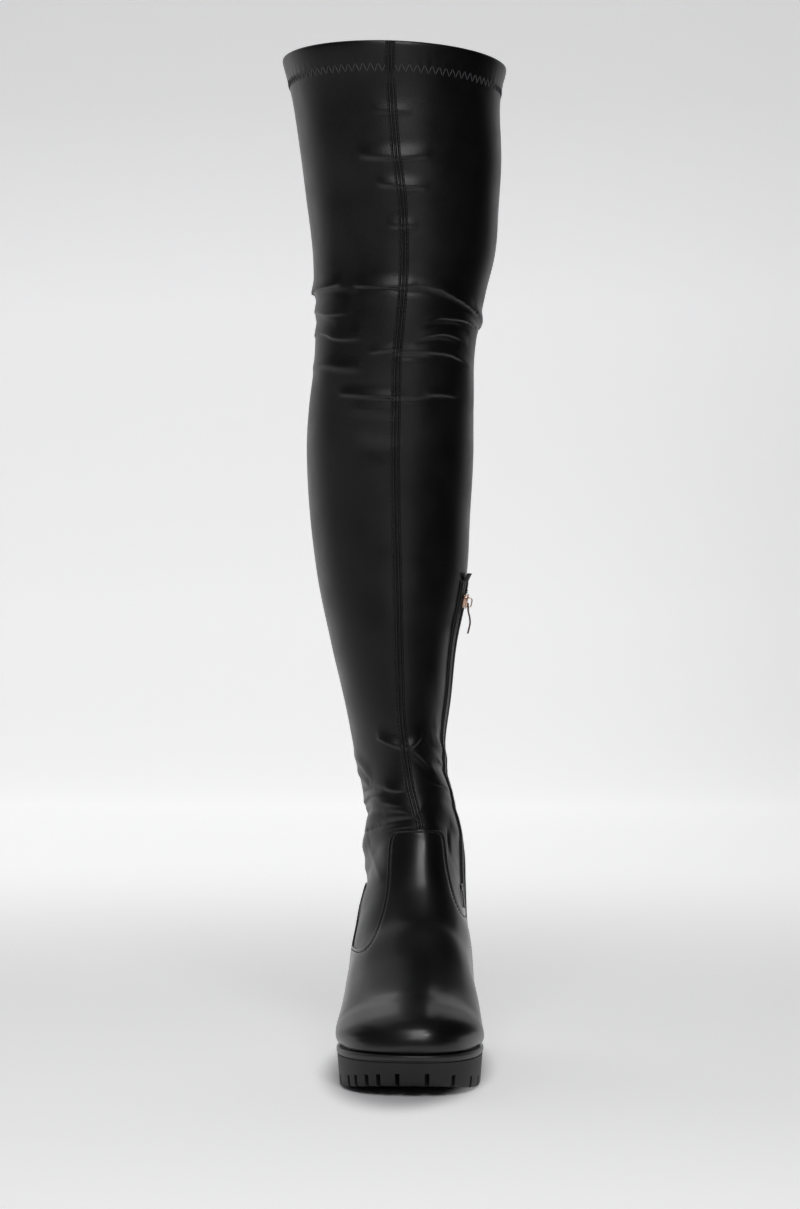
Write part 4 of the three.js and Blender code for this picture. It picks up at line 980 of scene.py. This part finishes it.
# %% Pull tab
# It hangs from the bridge by its eye, and is cast with a slight wave. It turns with its body.
pin = np.array(frame["joints"][0]["pos_m"])
PULL_HALF = [(2.0, 0.6), (2.7, -0.4), (2.7, -4.6), (2.0, -6.0), (1.5, -8.0), (1.7, -12.0),
             (2.3, -16.0), (2.7, -19.0), (2.5, -21.0), (1.5, -22.0)]
PULL_OUTLINE = [(-2.0, 0.6), *PULL_HALF, *[(-a, b) for a, b in PULL_HALF[:0:-1]]]
PULL_EYE = [(-1.6, -0.6), (1.6, -0.6), (1.6, -4.2), (0.8, -4.9), (-0.8, -4.9), (-1.6, -4.2)]
PULL_WAVE = [(0, 0), (-5.5, 0.2), (-9.9, 1.2), (-14.3, 1.5), (-18.7, 0.6), (-22, -0.2)]
points, faces = plate(soft_outline(PULL_OUTLINE, MM, MM), [soft_outline(PULL_EYE, MM, MM)],
                      0.6 * MM, 0.5 * MM)
wave = smooth_path(PULL_WAVE, 60)[::-1] * MM
bend = np.interp(points[:, 1], wave[:, 0], wave[:, 1])
pull_points = np.stack([points[:, 2] + bend, points[:, 0], points[:, 1]], 1) + pin
pull = piece("zip_pull_tab", pull_points, faces, "dark_bronze", body="pull")
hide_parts("zip_pull")
print("pull turns on its pin at", (pin / MM).round(1), "mm")

# %% The sewn rows, one mesh for each thread
for name, rows in sewn_rows.items():
    thread = piece(name, *joined(rows), "stretch_leather", merge=False)
    print(name, len(thread.data.polygons), "faces")

# %% [markdown]
# ## Sole
# The unit sole is moulded rubber: a thick outsole with grooves round its edge and bars across its
# tread, and above it a thin layer that shows as a lighter line, where a welted boot has its welt.
# The edges are swept round the upper's foot line. Grooves and arch are cut with a Boolean, which
# is how a mould's blades leave them. Modelled face by face, they couldn't be moved later.

# %% Foot line
EDGE_COUNT = 480  # points round the foot line
side_rows = np.arange(BALL_ROW, HEEL_ROW + 0.01, 0.1)
foot_sides = rings(side_rows, np.array([0.0, 1.0]))
loop = np.concatenate([foot_sides[::-1, 0], plain[0][1:-1], foot_sides[:-1, -1]])[:, :2]
loop = np.concatenate([loop, loop[:1]])
travelled = way_along(loop)
foot_line = at_way(loop, travelled, np.linspace(0, travelled[-1], EDGE_COUNT, endpoint=False))
for _ in range(4):
    foot_line = (np.roll(foot_line, 1, 0) + 2 * foot_line + np.roll(foot_line, -1, 0)) / 4
forward = np.roll(foot_line, -1, 0) - np.roll(foot_line, 1, 0)
forward /= np.linalg.norm(forward, axis=1, keepdims=True)
foot_out = np.stack([forward[:, 1], -forward[:, 0]], 1)
foot_out *= np.sign((foot_out * (foot_line - foot_line.mean(0))).sum())
print("foot line", round(travelled[-1] / MM), "mm round")


def swept_edge(section):
    """Points round the foot line for a section of offset and height, both in metres.
    A height is a function of y."""
    found = []
    for offset, height in section:
        line = foot_line + foot_out * offset
        found.append(np.column_stack([line, height(line[:, 1])]))
    return np.array(found)


def cap(line, height, spacing=5 * MM):
    """Points and triangles that fill a closed line, at a height that follows y"""
    flat = line[:, :2]
    a = np.arange(flat[:, 0].min(), flat[:, 0].max(), spacing)
    b = np.arange(flat[:, 1].min(), flat[:, 1].max(), spacing)
    aa, bb = np.meshgrid(a, b)
    inside = inside_outline(aa.ravel(), bb.ravel(), flat) > 0.4 * spacing
    fill = np.stack([aa.ravel(), bb.ravel()], 1)[inside]
    rim = [(k, (k + 1) % len(flat)) for k in range(len(flat))]
    points, _, faces, *_ = delaunay_2d_cdt(
        [Vector(p) for p in np.concatenate([flat, fill])], rim, [], 1, 1e-7)
    points = np.array([tuple(p) for p in points])
    return np.column_stack([points, height(points[:, 1])]), [list(f) for f in faces]


def sole_layer(name, section, top_height, low_height, slot):
    """A layer of the sole: its edge swept round the foot line, and a cap above and below"""
    edge = swept_edge(section)
    wall = strip_faces(len(edge), EDGE_COUNT, closed=True).tolist()
    caps = []
    for line, height, turn in ((edge[0], top_height, 1), (edge[-1], low_height, -1)):
        points, faces = cap(line, height)
        caps.append((points, [face[::turn] for face in faces]))
    points, faces = joined([(edge.reshape(-1, 3), wall), *caps])
    made = piece(name, points, faces, slot)
    loose = clean(made.data, merge=1e-5, outward=True)
    print(name, len(made.data.polygons), "faces, open edges", loose)
    return made

# %% Midsole and insole
MIDSOLE = 4.5 * MM  # thickness


def above_seat(rise):
    return lambda y: seat_height(y) + rise


# Millimetres out from the foot line, and above the top of the layer.
WELT_SECTION = [(-6, 0), (3.7, 0), (4.3, -0.2), (4.7, -0.6), (4.8, -1.1), (4.8, -3.0),
                (4.65, -3.5), (4.2, -3.8), (3.9, -4.0), (3.8, -4.5)]
midsole = sole_layer("welt_layer", [(o * MM, above_seat(r * MM)) for o, r in WELT_SECTION],
                     above_seat(0), above_seat(-MIDSOLE), "welt_rubber")
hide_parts("midsole")
INSOLE_SECTION = [(-3.9, 3.0), (-3.65, 2.8), (-3.6, 2.4), (-3.6, 0.0)]
insole = sole_layer("insole_cloth",
                    [(o * MM, above_seat(CLEARANCE + r * MM)) for o, r in INSOLE_SECTION],
                    above_seat(CLEARANCE + 3 * MM), above_seat(CLEARANCE), "lining")
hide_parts("insole")

# %% Outsole
OUTSOLE_OUT, DRAFT = 4.2 * MM, 1.6 * MM  # the edge draws in by its draft, to leave the mould


def outsole_height(share, drop=0.0):
    """Height at a share of the way from the top of the outsole down to the tread"""
    def height(y):
        top = seat_height(y) - MIDSOLE - CLEARANCE
        return top + (tread_height(y) - top) * share + drop
    return height


section = [(OUTSOLE_OUT - 0.5 * MM, outsole_height(0)), (OUTSOLE_OUT, outsole_height(0, -0.4 * MM))]
section += [(OUTSOLE_OUT - DRAFT * s, outsole_height(s)) for s in np.linspace(0.1, 0.9, 9)]
section += [(OUTSOLE_OUT - DRAFT - 0.15 * MM, outsole_height(1, 0.9 * MM)),
            (OUTSOLE_OUT - DRAFT - 0.45 * MM, outsole_height(1, 0.3 * MM)),
            (OUTSOLE_OUT - DRAFT - 1.1 * MM, outsole_height(1))]
outsole = sole_layer("rubber_outsole", section, outsole_height(0), outsole_height(1), "rubber")
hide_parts("outsole")


def cutter(centre, size, turn=0.0):
    """Corners of a block that the mould leaves out"""
    sign = np.array([(a, b, c) for a in (-1, 1) for b in (-1, 1) for c in (-1, 1)]) / 2
    block = sign * size
    cos, sin = math.cos(turn), math.sin(turn)
    x = block[:, 0] * cos - block[:, 1] * sin
    y = block[:, 0] * sin + block[:, 1] * cos
    return (np.stack([x, y, block[:, 2]], 1) + centre,
            [[0, 1, 3, 2], [4, 6, 7, 5], [0, 4, 5, 1], [2, 3, 7, 6], [0, 2, 6, 4], [1, 5, 7, 3]])


# Grooves, as distances along the edge from the tip of the toe, outer side positive: those in
# front one by one, the rest evenly spaced. Then bars across the tread of forefoot and heel.
FRONT_GROOVES = [-82.6, -65.5, -47.3, -26.7, -7.2, 12.2, 25.6, 35.5, 45.4, 55.2]
REST_GROOVES = 24
GROOVE = (24 * MM, 3.1 * MM, 15 * MM)  # into the sole, along the edge and in height
BAR_PITCH, BAR_WIDTH, BAR_DEPTH, BAR_MARGIN = 20 * MM, 4 * MM, 8 * MM, 17 * MM
edge_line = foot_line + foot_out * (OUTSOLE_OUT - DRAFT)
edge_at = way_along(np.concatenate([edge_line, edge_line[:1]]))
tip = int(np.argmin(edge_line[:, 1]))
outer_way = 1 if edge_line[(tip + 40) % EDGE_COUNT, 0] < 0 else -1
rest = edge_at[-1] - (FRONT_GROOVES[-1] - FRONT_GROOVES[0]) * MM
ways = [g * MM for g in FRONT_GROOVES]
ways += [ways[-1] + rest * k / (REST_GROOVES + 1) for k in range(1, REST_GROOVES + 1)]
blocks = []
for way in ways:
    place = (edge_at[tip] + outer_way * way) % edge_at[-1]
    k = int(np.searchsorted(edge_at, place)) % EDGE_COUNT
    spot, out = edge_line[k], foot_out[k]
    blocks.append(cutter((*spot, float(tread_height(spot[1]))), GROOVE,
                         math.atan2(out[1], out[0])))
print("grooves", len(blocks), "outer way", outer_way)
for first, last in ((BALL_Y - 10 * MM, -68 * MM), (12 * MM, 50 * MM)):
    for y in np.arange(first, last, BAR_PITCH):
        span = edge_line[np.abs(edge_line[:, 1] - y) < 3 * MM, 0]
        left, right = span.min() + BAR_MARGIN, span.max() - BAR_MARGIN
        blocks.append(cutter(((left + right) / 2, y, float(tread_height(y))),
                             (right - left, BAR_WIDTH, BAR_DEPTH)))
# The arch between forefoot and heel, seen from the side, in mm.
ARCH = [(-58, -11), (-58, 0), (-47, 7.7), (-36, 11), (-11.7, 11), (-8, 7.7), (-8, -11)]
count = len(ARCH)
arch_points = [(x, y * MM, z * MM) for x in (-0.1, 0.1) for y, z in ARCH]
arch_faces = [list(range(count)), list(range(2 * count - 1, count - 1, -1))]
arch_faces += [[k, k + count, (k + 1) % count + count, (k + 1) % count] for k in range(count)]
tools = [put(name, mesh_of(name, points, faces)) for name, (points, faces) in
         (("knives", joined(blocks)), ("arch", (arch_points, arch_faces)))]
for tool in tools:
    clean(tool.data, outward=True)
    cut = outsole.modifiers.new(tool.name, "BOOLEAN")
    cut.operation, cut.object, cut.solver = "DIFFERENCE", tool, "EXACT"
graph = bpy.context.evaluated_depsgraph_get()
carved = bpy.data.meshes.new_from_object(outsole.evaluated_get(graph))
outsole.modifiers.clear()
outsole.data = carved
for tool in tools:
    bpy.data.objects.remove(tool)
carved.shade_smooth()
carved.set_sharp_from_angle(angle=math.radians(32))
midsole.data.set_sharp_from_angle(angle=math.radians(50))
print("outsole", len(carved.polygons), "faces")

# %% [markdown]
# ## Materials
# Each finish is built from nodes, in the boot's own coordinates, so that a grain or a weave keeps
# its real size on every piece. A photographed texture would do too, but shows where it repeats.
# One helper turns a hex colour to linear and one adds a node; the others are built on these.

# %% Helpers for materials
def linear(hex_colour):
    """An sRGB hex colour as linear red, green, blue and alpha"""
    parts = [int(hex_colour[k:k + 2], 16) / 255 for k in (1, 3, 5)]
    return (*[p / 12.92 if p <= 0.04045 else ((p + 0.055) / 1.055) ** 2.4 for p in parts], 1.0)


def add(tree, kind, inputs=None, **settings):
    """Adds a node, sets its properties, and sets or links its inputs"""
    made = tree.nodes.new(kind)
    for name, value in settings.items():
        setattr(made, name, value)
    for name, value in (inputs or {}).items():
        if isinstance(value, bpy.types.NodeSocket):
            tree.links.new(value, made.inputs[name])
        else:
            made.inputs[name].default_value = value
    return made


def new_material(name, colour, roughness, **sockets):
    """A principled material, its node tree and the boot's own coordinates"""
    material = bpy.data.materials.new(name)
    material.use_nodes = True
    tree = material.node_tree
    shader = tree.nodes["Principled BSDF"]
    shader.inputs["Base Color"].default_value = linear(colour)
    shader.inputs["Roughness"].default_value = roughness
    for socket, value in sockets.items():
        shader.inputs[socket.replace("_", " ")].default_value = value
    return material, tree, add(tree, "ShaderNodeTexCoord").outputs["Object"]


def blend_colours(tree, factor, first, second):
    """A colour between two hex colours"""
    mix = add(tree, "ShaderNodeMix", {"Factor": factor}, data_type="RGBA")
    mix.inputs["A"].default_value, mix.inputs["B"].default_value = linear(first), linear(second)
    return mix.outputs["Result"]


def per_mm(size):
    """Texture scale that gives a pattern this many millimetres wide"""
    return 1 / (size * MM)


def noise(tree, place, size, detail):
    """Cloudy pattern of a size in mm"""
    return add(tree, "ShaderNodeTexNoise", {"Vector": place, "Scale": per_mm(size),
                                            "Detail": detail}).outputs["Fac"]


def maths(tree, operation, *values):
    inputs = dict(enumerate(values))
    return add(tree, "ShaderNodeMath", inputs, operation=operation).outputs[0]


def ramp(tree, value, source, target, kind="LINEAR"):
    """Maps a range of values to another one"""
    inputs = dict(zip(("Value", "From Min", "From Max", "To Min", "To Max"),
                      (value, *source, *target)))
    return add(tree, "ShaderNodeMapRange", inputs, interpolation_type=kind).outputs["Result"]


def dress(material, patches, dark, light, height, strength, depth, gloss=None):
    """Links a finish: two colours in patches, a relief in mm, and a range of roughness"""
    tree = material.node_tree
    shader = tree.nodes["Principled BSDF"]
    bump = add(tree, "ShaderNodeBump", {"Height": height, "Strength": strength,
                                        "Distance": depth * MM})
    tree.links.new(bump.outputs["Normal"], shader.inputs["Normal"])
    tree.links.new(blend_colours(tree, patches, dark, light), shader.inputs["Base Color"])
    if gloss:
        tree.links.new(ramp(tree, patches, (0.3, 0.7), gloss), shader.inputs["Roughness"])
    print("made", material.name)
    return material

# %% [markdown]
# ### Stretch leather
# The shaft is polyurethane leather: a thin film pressed with a fine grain on a stretch backing.
# Its IOR is about 1.5. The film is even, so it has a soft gloss with little colour in it, and the
# grain breaks the gloss up. Real grains are about 0.4 mm wide; they are drawn at 1.1 mm, or the
# render couldn't show them. Colour and gloss vary in patches of 22 mm, where the film stretches.

# %% Stretch leather
material, tree, place = new_material("stretch_pu_leather_embossed", "#0d0d0e", 0.34, IOR=1.5,
                                     Specular_IOR_Level=0.45)
grain = add(tree, "ShaderNodeTexVoronoi", {"Vector": place, "Scale": per_mm(1.1),
                                           "Randomness": 0.9}, feature="F1", distance="EUCLIDEAN")
relief = maths(tree, "ADD", grain.outputs["Distance"], noise(tree, place, 0.7, 2.0))
stretch = dress(material, noise(tree, place, 22, 3.0), "#080809", "#0f0f10", relief, 0.16, 0.25,
                gloss=(0.33, 0.42))

# %% [markdown]
# ### Smooth leather
# Vamp and counter are finished leather, plated smooth and polished with a clear top coat, so the
# light is mirrored more sharply than on the shaft. The coat is set on the shader's own sockets.
# Pores of about 0.3 mm are left in it, drawn at 0.9 mm, and polishing leaves patches of 30 mm.

# %% Smooth leather
material, tree, place = new_material("smooth_leather_polished", "#0e0e0f", 0.3, IOR=1.5,
                                     Specular_IOR_Level=0.45, Coat_Weight=0.3,
                                     Coat_Roughness=0.19, Coat_IOR=1.45)
smooth = dress(material, noise(tree, place, 30, 2.0), "#080809", "#0e0e0f",
               noise(tree, place, 0.9, 3.0), 0.05, 0.2, gloss=(0.3, 0.38))

# %% [markdown]
# ### Rubber
# Thermoplastic rubber straight from the mould: matt, charcoal rather than black, with the mould's
# fine sand-blasted texture of about 0.3 mm, drawn at 0.8 mm. The layer above it is the same rubber
# from a satin mould, a shade lighter. Dust greys both in patches of 14 mm.

# %% Rubber of the outsole and of the layer above it
def rubber(name, dark, light, roughness, texture):
    material, tree, place = new_material(name, dark, roughness, IOR=1.52)
    return dress(material, noise(tree, place, 14, 4.0), dark, light,
                 noise(tree, place, 0.8, 3.0), texture, 0.3)


tread_rubber = rubber("rubber_moulded_matt", "#161617", "#1e1e1f", 0.62, 0.25)
layer_rubber = rubber("rubber_moulded_satin", "#1c1c1d", "#252526", 0.36, 0.08)

# %% [markdown]
# ### Cloth, thread and nylon
# The zip's tape is woven polyester, and the lining is brushed tricot: soft, with a little sheen
# from its raised fibres. Thread is bonded polyester, slightly glossy, black in the seams and grey
# in the hem. The coil is drawn nylon. Ribs, wales and twist are really 0.4 to 0.8 mm apart, and
# are drawn two to four times as coarse.

# %% Cloth, thread and coil
def woven(name, dark, light, pitch, strength, roughness, **sockets):
    """Ribbed and fuzzy. A rib is drawn about every two pitches, given in mm."""
    material, tree, place = new_material(name, dark, roughness, **sockets)
    ribs = add(tree, "ShaderNodeTexWave", {"Vector": place, "Scale": per_mm(pitch) / (2 * math.pi),
                                           "Distortion": 0.6, "Detail": 1.0}, bands_direction="Z")
    fuzz = noise(tree, place, 1.2, 3.0)
    relief = maths(tree, "ADD", ribs.outputs["Fac"], fuzz)
    return dress(material, fuzz, dark, light, relief, strength, 0.3)


tape_cloth = woven("polyester_tape_woven", "#0b0b0c", "#151516", 1.0, 0.5, 0.8)
lining_cloth = woven("tricot_lining_brushed", "#151413", "#211f1d", 1.6, 0.3, 0.9,
                     Sheen_Weight=0.35, Sheen_Roughness=0.5)
thread_cloth = woven("polyester_thread_bonded", "#0d0d0e", "#1a1a1b", 0.8, 0.35, 0.42)
grey_thread = woven("polyester_thread_grey", "#3c3c3f", "#515154", 0.8, 0.35, 0.5)
coil_nylon = woven("nylon_coil_drawn", "#0c0c0d", "#141415", 0.9, 0.12, 0.35, IOR=1.53)

# %% [markdown]
# ### Plated metal
# Slider and pull are zinc castings, tumbled and plated. Metals keep the default IOR: their colour
# is the colour of their reflection. Tumbling marks, really about 0.5 mm and drawn at 1.5 mm, vary
# the roughness and make the plating a little paler in patches.

# %% Rose gold and dark bronze
def plated(name, colour, worn, roughness):
    material, tree, place = new_material(name, colour, roughness, Metallic=1.0)
    marks = noise(tree, place, 1.5, 5.0)
    return dress(material, marks, colour, worn, marks, 0.06, 0.1,
                 gloss=(roughness - 0.05, roughness + 0.08))


rose_gold = plated("zinc_rose_gold_plated", "#d9b09a", "#ecd2c2", 0.24)
bronze = plated("zinc_dark_bronze_plated", "#5a463b", "#7c6455", 0.34)

# %% Put the materials on
FINISHES = [
    (stretch, "shaft collar_hem front_seam_leather back_seam_leather hem_seam_leather"),
    (stretch, "zip_facing_front zip_facing_back"),
    (smooth, "vamp_leather counter_leather zip_foot_patch"),
    (lining_cloth, "lining insole_cloth"),
    (thread_cloth, "stitches"), (grey_thread, "stitches_light"),
    (tape_cloth, "zip_tape_cloth"), (coil_nylon, "zip_coil_loops"),
    (rose_gold, "zip_slider_casting"), (bronze, "zip_pull_tab"),
    (tread_rubber, "rubber_outsole"), (layer_rubber, "welt_layer"),
]
finished = [(name, material) for material, names in FINISHES for name in names.split()]
for name, material in finished:
    bpy.data.objects[name].data.materials.clear()
    bpy.data.objects[name].data.materials.append(material)
print("finished pieces", len(finished))

# %% [markdown]
# ## Floor, light and camera
# The boot stands on a pale sheet, floor and wall in one bend. Black leather shows almost nothing
# but what it mirrors, so few soft lights draw it: a tall narrow one near the camera for the
# streak down the leg, a small one beside it for the spot on the toe, one over the far floor and
# one behind the outer side for the rims. A black cloth keeps the inner side dark. Lights strong
# enough for a white sheet would turn the leather grey, so the sheet also glows by itself, which is
# painted light: its nodes fade the glow up the wall and to its sides, and keep it away from the
# floor round the sole, a painted shadow that deepens the boot's own soft shadow there.

# %% Floor and wall in one sweep
# Side view in metres: the floor starts behind the camera, bends up behind the boot into the wall.
FLOOR_START, BEND_START, BEND_RADIUS, WALL_TOP, HALF_WIDTH = -4.0, 2.7, 0.9, 4.5, 5
profile = [(FLOOR_START, 0.0)]
profile += [(BEND_START + BEND_RADIUS * math.sin(t), BEND_RADIUS * (1 - math.cos(t)))
            for t in np.linspace(0, math.pi / 2, 24)]
profile.append((BEND_START + BEND_RADIUS, WALL_TOP))
backdrop_points = [(x, y, z) for y, z in profile for x in (-HALF_WIDTH, HALF_WIDTH)]
backdrop = put("backdrop", mesh_of("backdrop", backdrop_points, strip_faces(len(profile), 2)))
backdrop.data.shade_smooth()

# The sheet's emission is painted light: the paper glows by itself, though it is no lamp.
paper, tree, place = new_material("backdrop_paper_painted_glow", "#f1f1f3", 0.9, IOR=1.45,
                                  Emission_Color=(1, 1, 1, 1))
GLOW_MIDDLE = -0.8  # x, where the wall is lightest
UNDER_BOOT, NARROW = (0, -0.07, 0), (3.2, 1, 1)  # the painted shadow round the sole, where the sheet doesn't glow, is an ellipse
axes = add(tree, "ShaderNodeSeparateXYZ", {"Vector": place}).outputs
behind = ramp(tree, axes["Y"], (0.2, 1.6), (0.0, 0.24), "SMOOTHSTEP")
up_wall = ramp(tree, axes["Z"], (0.3, 1.3), (1.0, 0.1))
off_middle = maths(tree, "ABSOLUTE", maths(tree, "ADD", axes["X"], -GLOW_MIDDLE))
middle = ramp(tree, off_middle, (0.7, 2.2), (1.0, 0.12), "SMOOTHSTEP")
# Painted shadow: the glow is left out in an ellipse round the sole, which darkens the floor there
# beyond the boot's own shadow.
from_boot = place
for operation, vector in (("SUBTRACT", UNDER_BOOT), ("MULTIPLY", NARROW)):
    from_boot = add(tree, "ShaderNodeVectorMath", {0: from_boot, 1: vector},
                    operation=operation).outputs[0]
distance = add(tree, "ShaderNodeVectorMath", {0: from_boot}, operation="LENGTH").outputs["Value"]
glow_outside_painted_shadow = ramp(tree, distance, (0.14, 0.21), (0.0, 0.36), "SMOOTHSTEP")
in_front = ramp(tree, axes["Y"], (-2.6, -0.65), (0.5, 1.0), "SMOOTHSTEP")
# Painted light: the sheet's glow, strongest low on the wall behind the boot and round its middle,
# weaker far in front, and left out round the sole.
glow = maths(tree, "MULTIPLY_ADD", maths(tree, "MULTIPLY", behind, up_wall), middle,
             maths(tree, "MULTIPLY", glow_outside_painted_shadow, in_front))
tree.links.new(glow, tree.nodes["Principled BSDF"].inputs["Emission Strength"])
backdrop.data.materials.append(paper)
print("sweep", len(profile), "rows")

# %% Lights
def soft_box(name, place, aim, width, height, watts):
    light = bpy.data.lights.new(name, "AREA")
    light.shape, light.size, light.size_y, light.energy = "RECTANGLE", width, height, watts
    obj = put(name, light)
    obj.location = place
    obj.rotation_euler = (Vector(aim) - Vector(place)).to_track_quat("-Z", "Y").to_euler()
    obj.visible_camera = False


# Place and aim in metres, width, height and watts.
soft_box("strip_front", (0.0, -1.25, 1.25), (0.0, -0.07, 0.13), 0.6, 1.0, 8)
soft_box("lamp_front", (0.4, -1.3, 1.03), (0.01, -0.15, 0.06), 0.22, 0.22, 2)
soft_box("ceiling_behind", (-0.9, 1.3, 2.3), (-0.4, 0.5, 0), 2.8, 1.8, 7)
soft_box("back_outer", (-1.9, 1.2, 0.8), (0, -0.1, 0.2), 1.4, 1.4, 2.2)

# A matt black cloth beside the inner side, out of the picture. The leather mirrors it.
FLAG_X, FLAG_NEAR, FLAG_FAR, FLAG_LOW, FLAG_TOP = 0.75, -1.0, 0.75, 0.02, 1.3
flag_points = [(FLAG_X, y, z) for y, z in ((FLAG_NEAR, FLAG_LOW), (FLAG_FAR, FLAG_LOW),
                                           (FLAG_FAR, FLAG_TOP), (FLAG_NEAR, FLAG_TOP))]
flag = put("flag", mesh_of("flag", flag_points, [(0, 1, 2, 3)]))
flag.data.materials.append(new_material("flag_cloth_matt_black", "#0a0a0a", 0.95)[0])
flag.visible_camera = False

WORLD_LIGHT, WORLD_SEEN = 0.05, 0.76  # the world lights the boot less than the camera sees it
world = bpy.data.worlds.new("studio")
bpy.context.scene.world = world
world.use_nodes = True
background = world.node_tree.nodes["Background"].inputs
seen = add(world.node_tree, "ShaderNodeLightPath").outputs["Is Camera Ray"]
strength = ramp(world.node_tree, seen, (0, 1), (WORLD_LIGHT, WORLD_SEEN))
world.node_tree.links.new(strength, background["Strength"])
background["Color"].default_value = (1.0, 1.0, 1.0, 1)
bpy.context.scene.view_settings.view_transform = "Standard"
print("lights", len(bpy.data.lights))

# %% Camera
# The photograph is taken from about 2.2 m away, level, at 325 mm above the floor. The lens is
# given for a 36 mm high sensor. The camera turns a little to put the one boot in the middle.
CAMERA = Vector((97 * MM, -2200 * MM, 325 * MM))
AIM = Vector((-8 * MM, 0, CAMERA.z))
camera_data = bpy.data.cameras.new("camera")
camera_data.sensor_fit, camera_data.sensor_height = "VERTICAL", 36
camera_data.lens = 90.4
camera = put("camera", camera_data)
camera.location = CAMERA
camera.rotation_euler = (AIM - CAMERA).to_track_quat("-Z", "Y").to_euler()
bpy.context.scene.camera = camera
print("camera", [round(v, 3) for v in CAMERA], "lens", camera_data.lens)
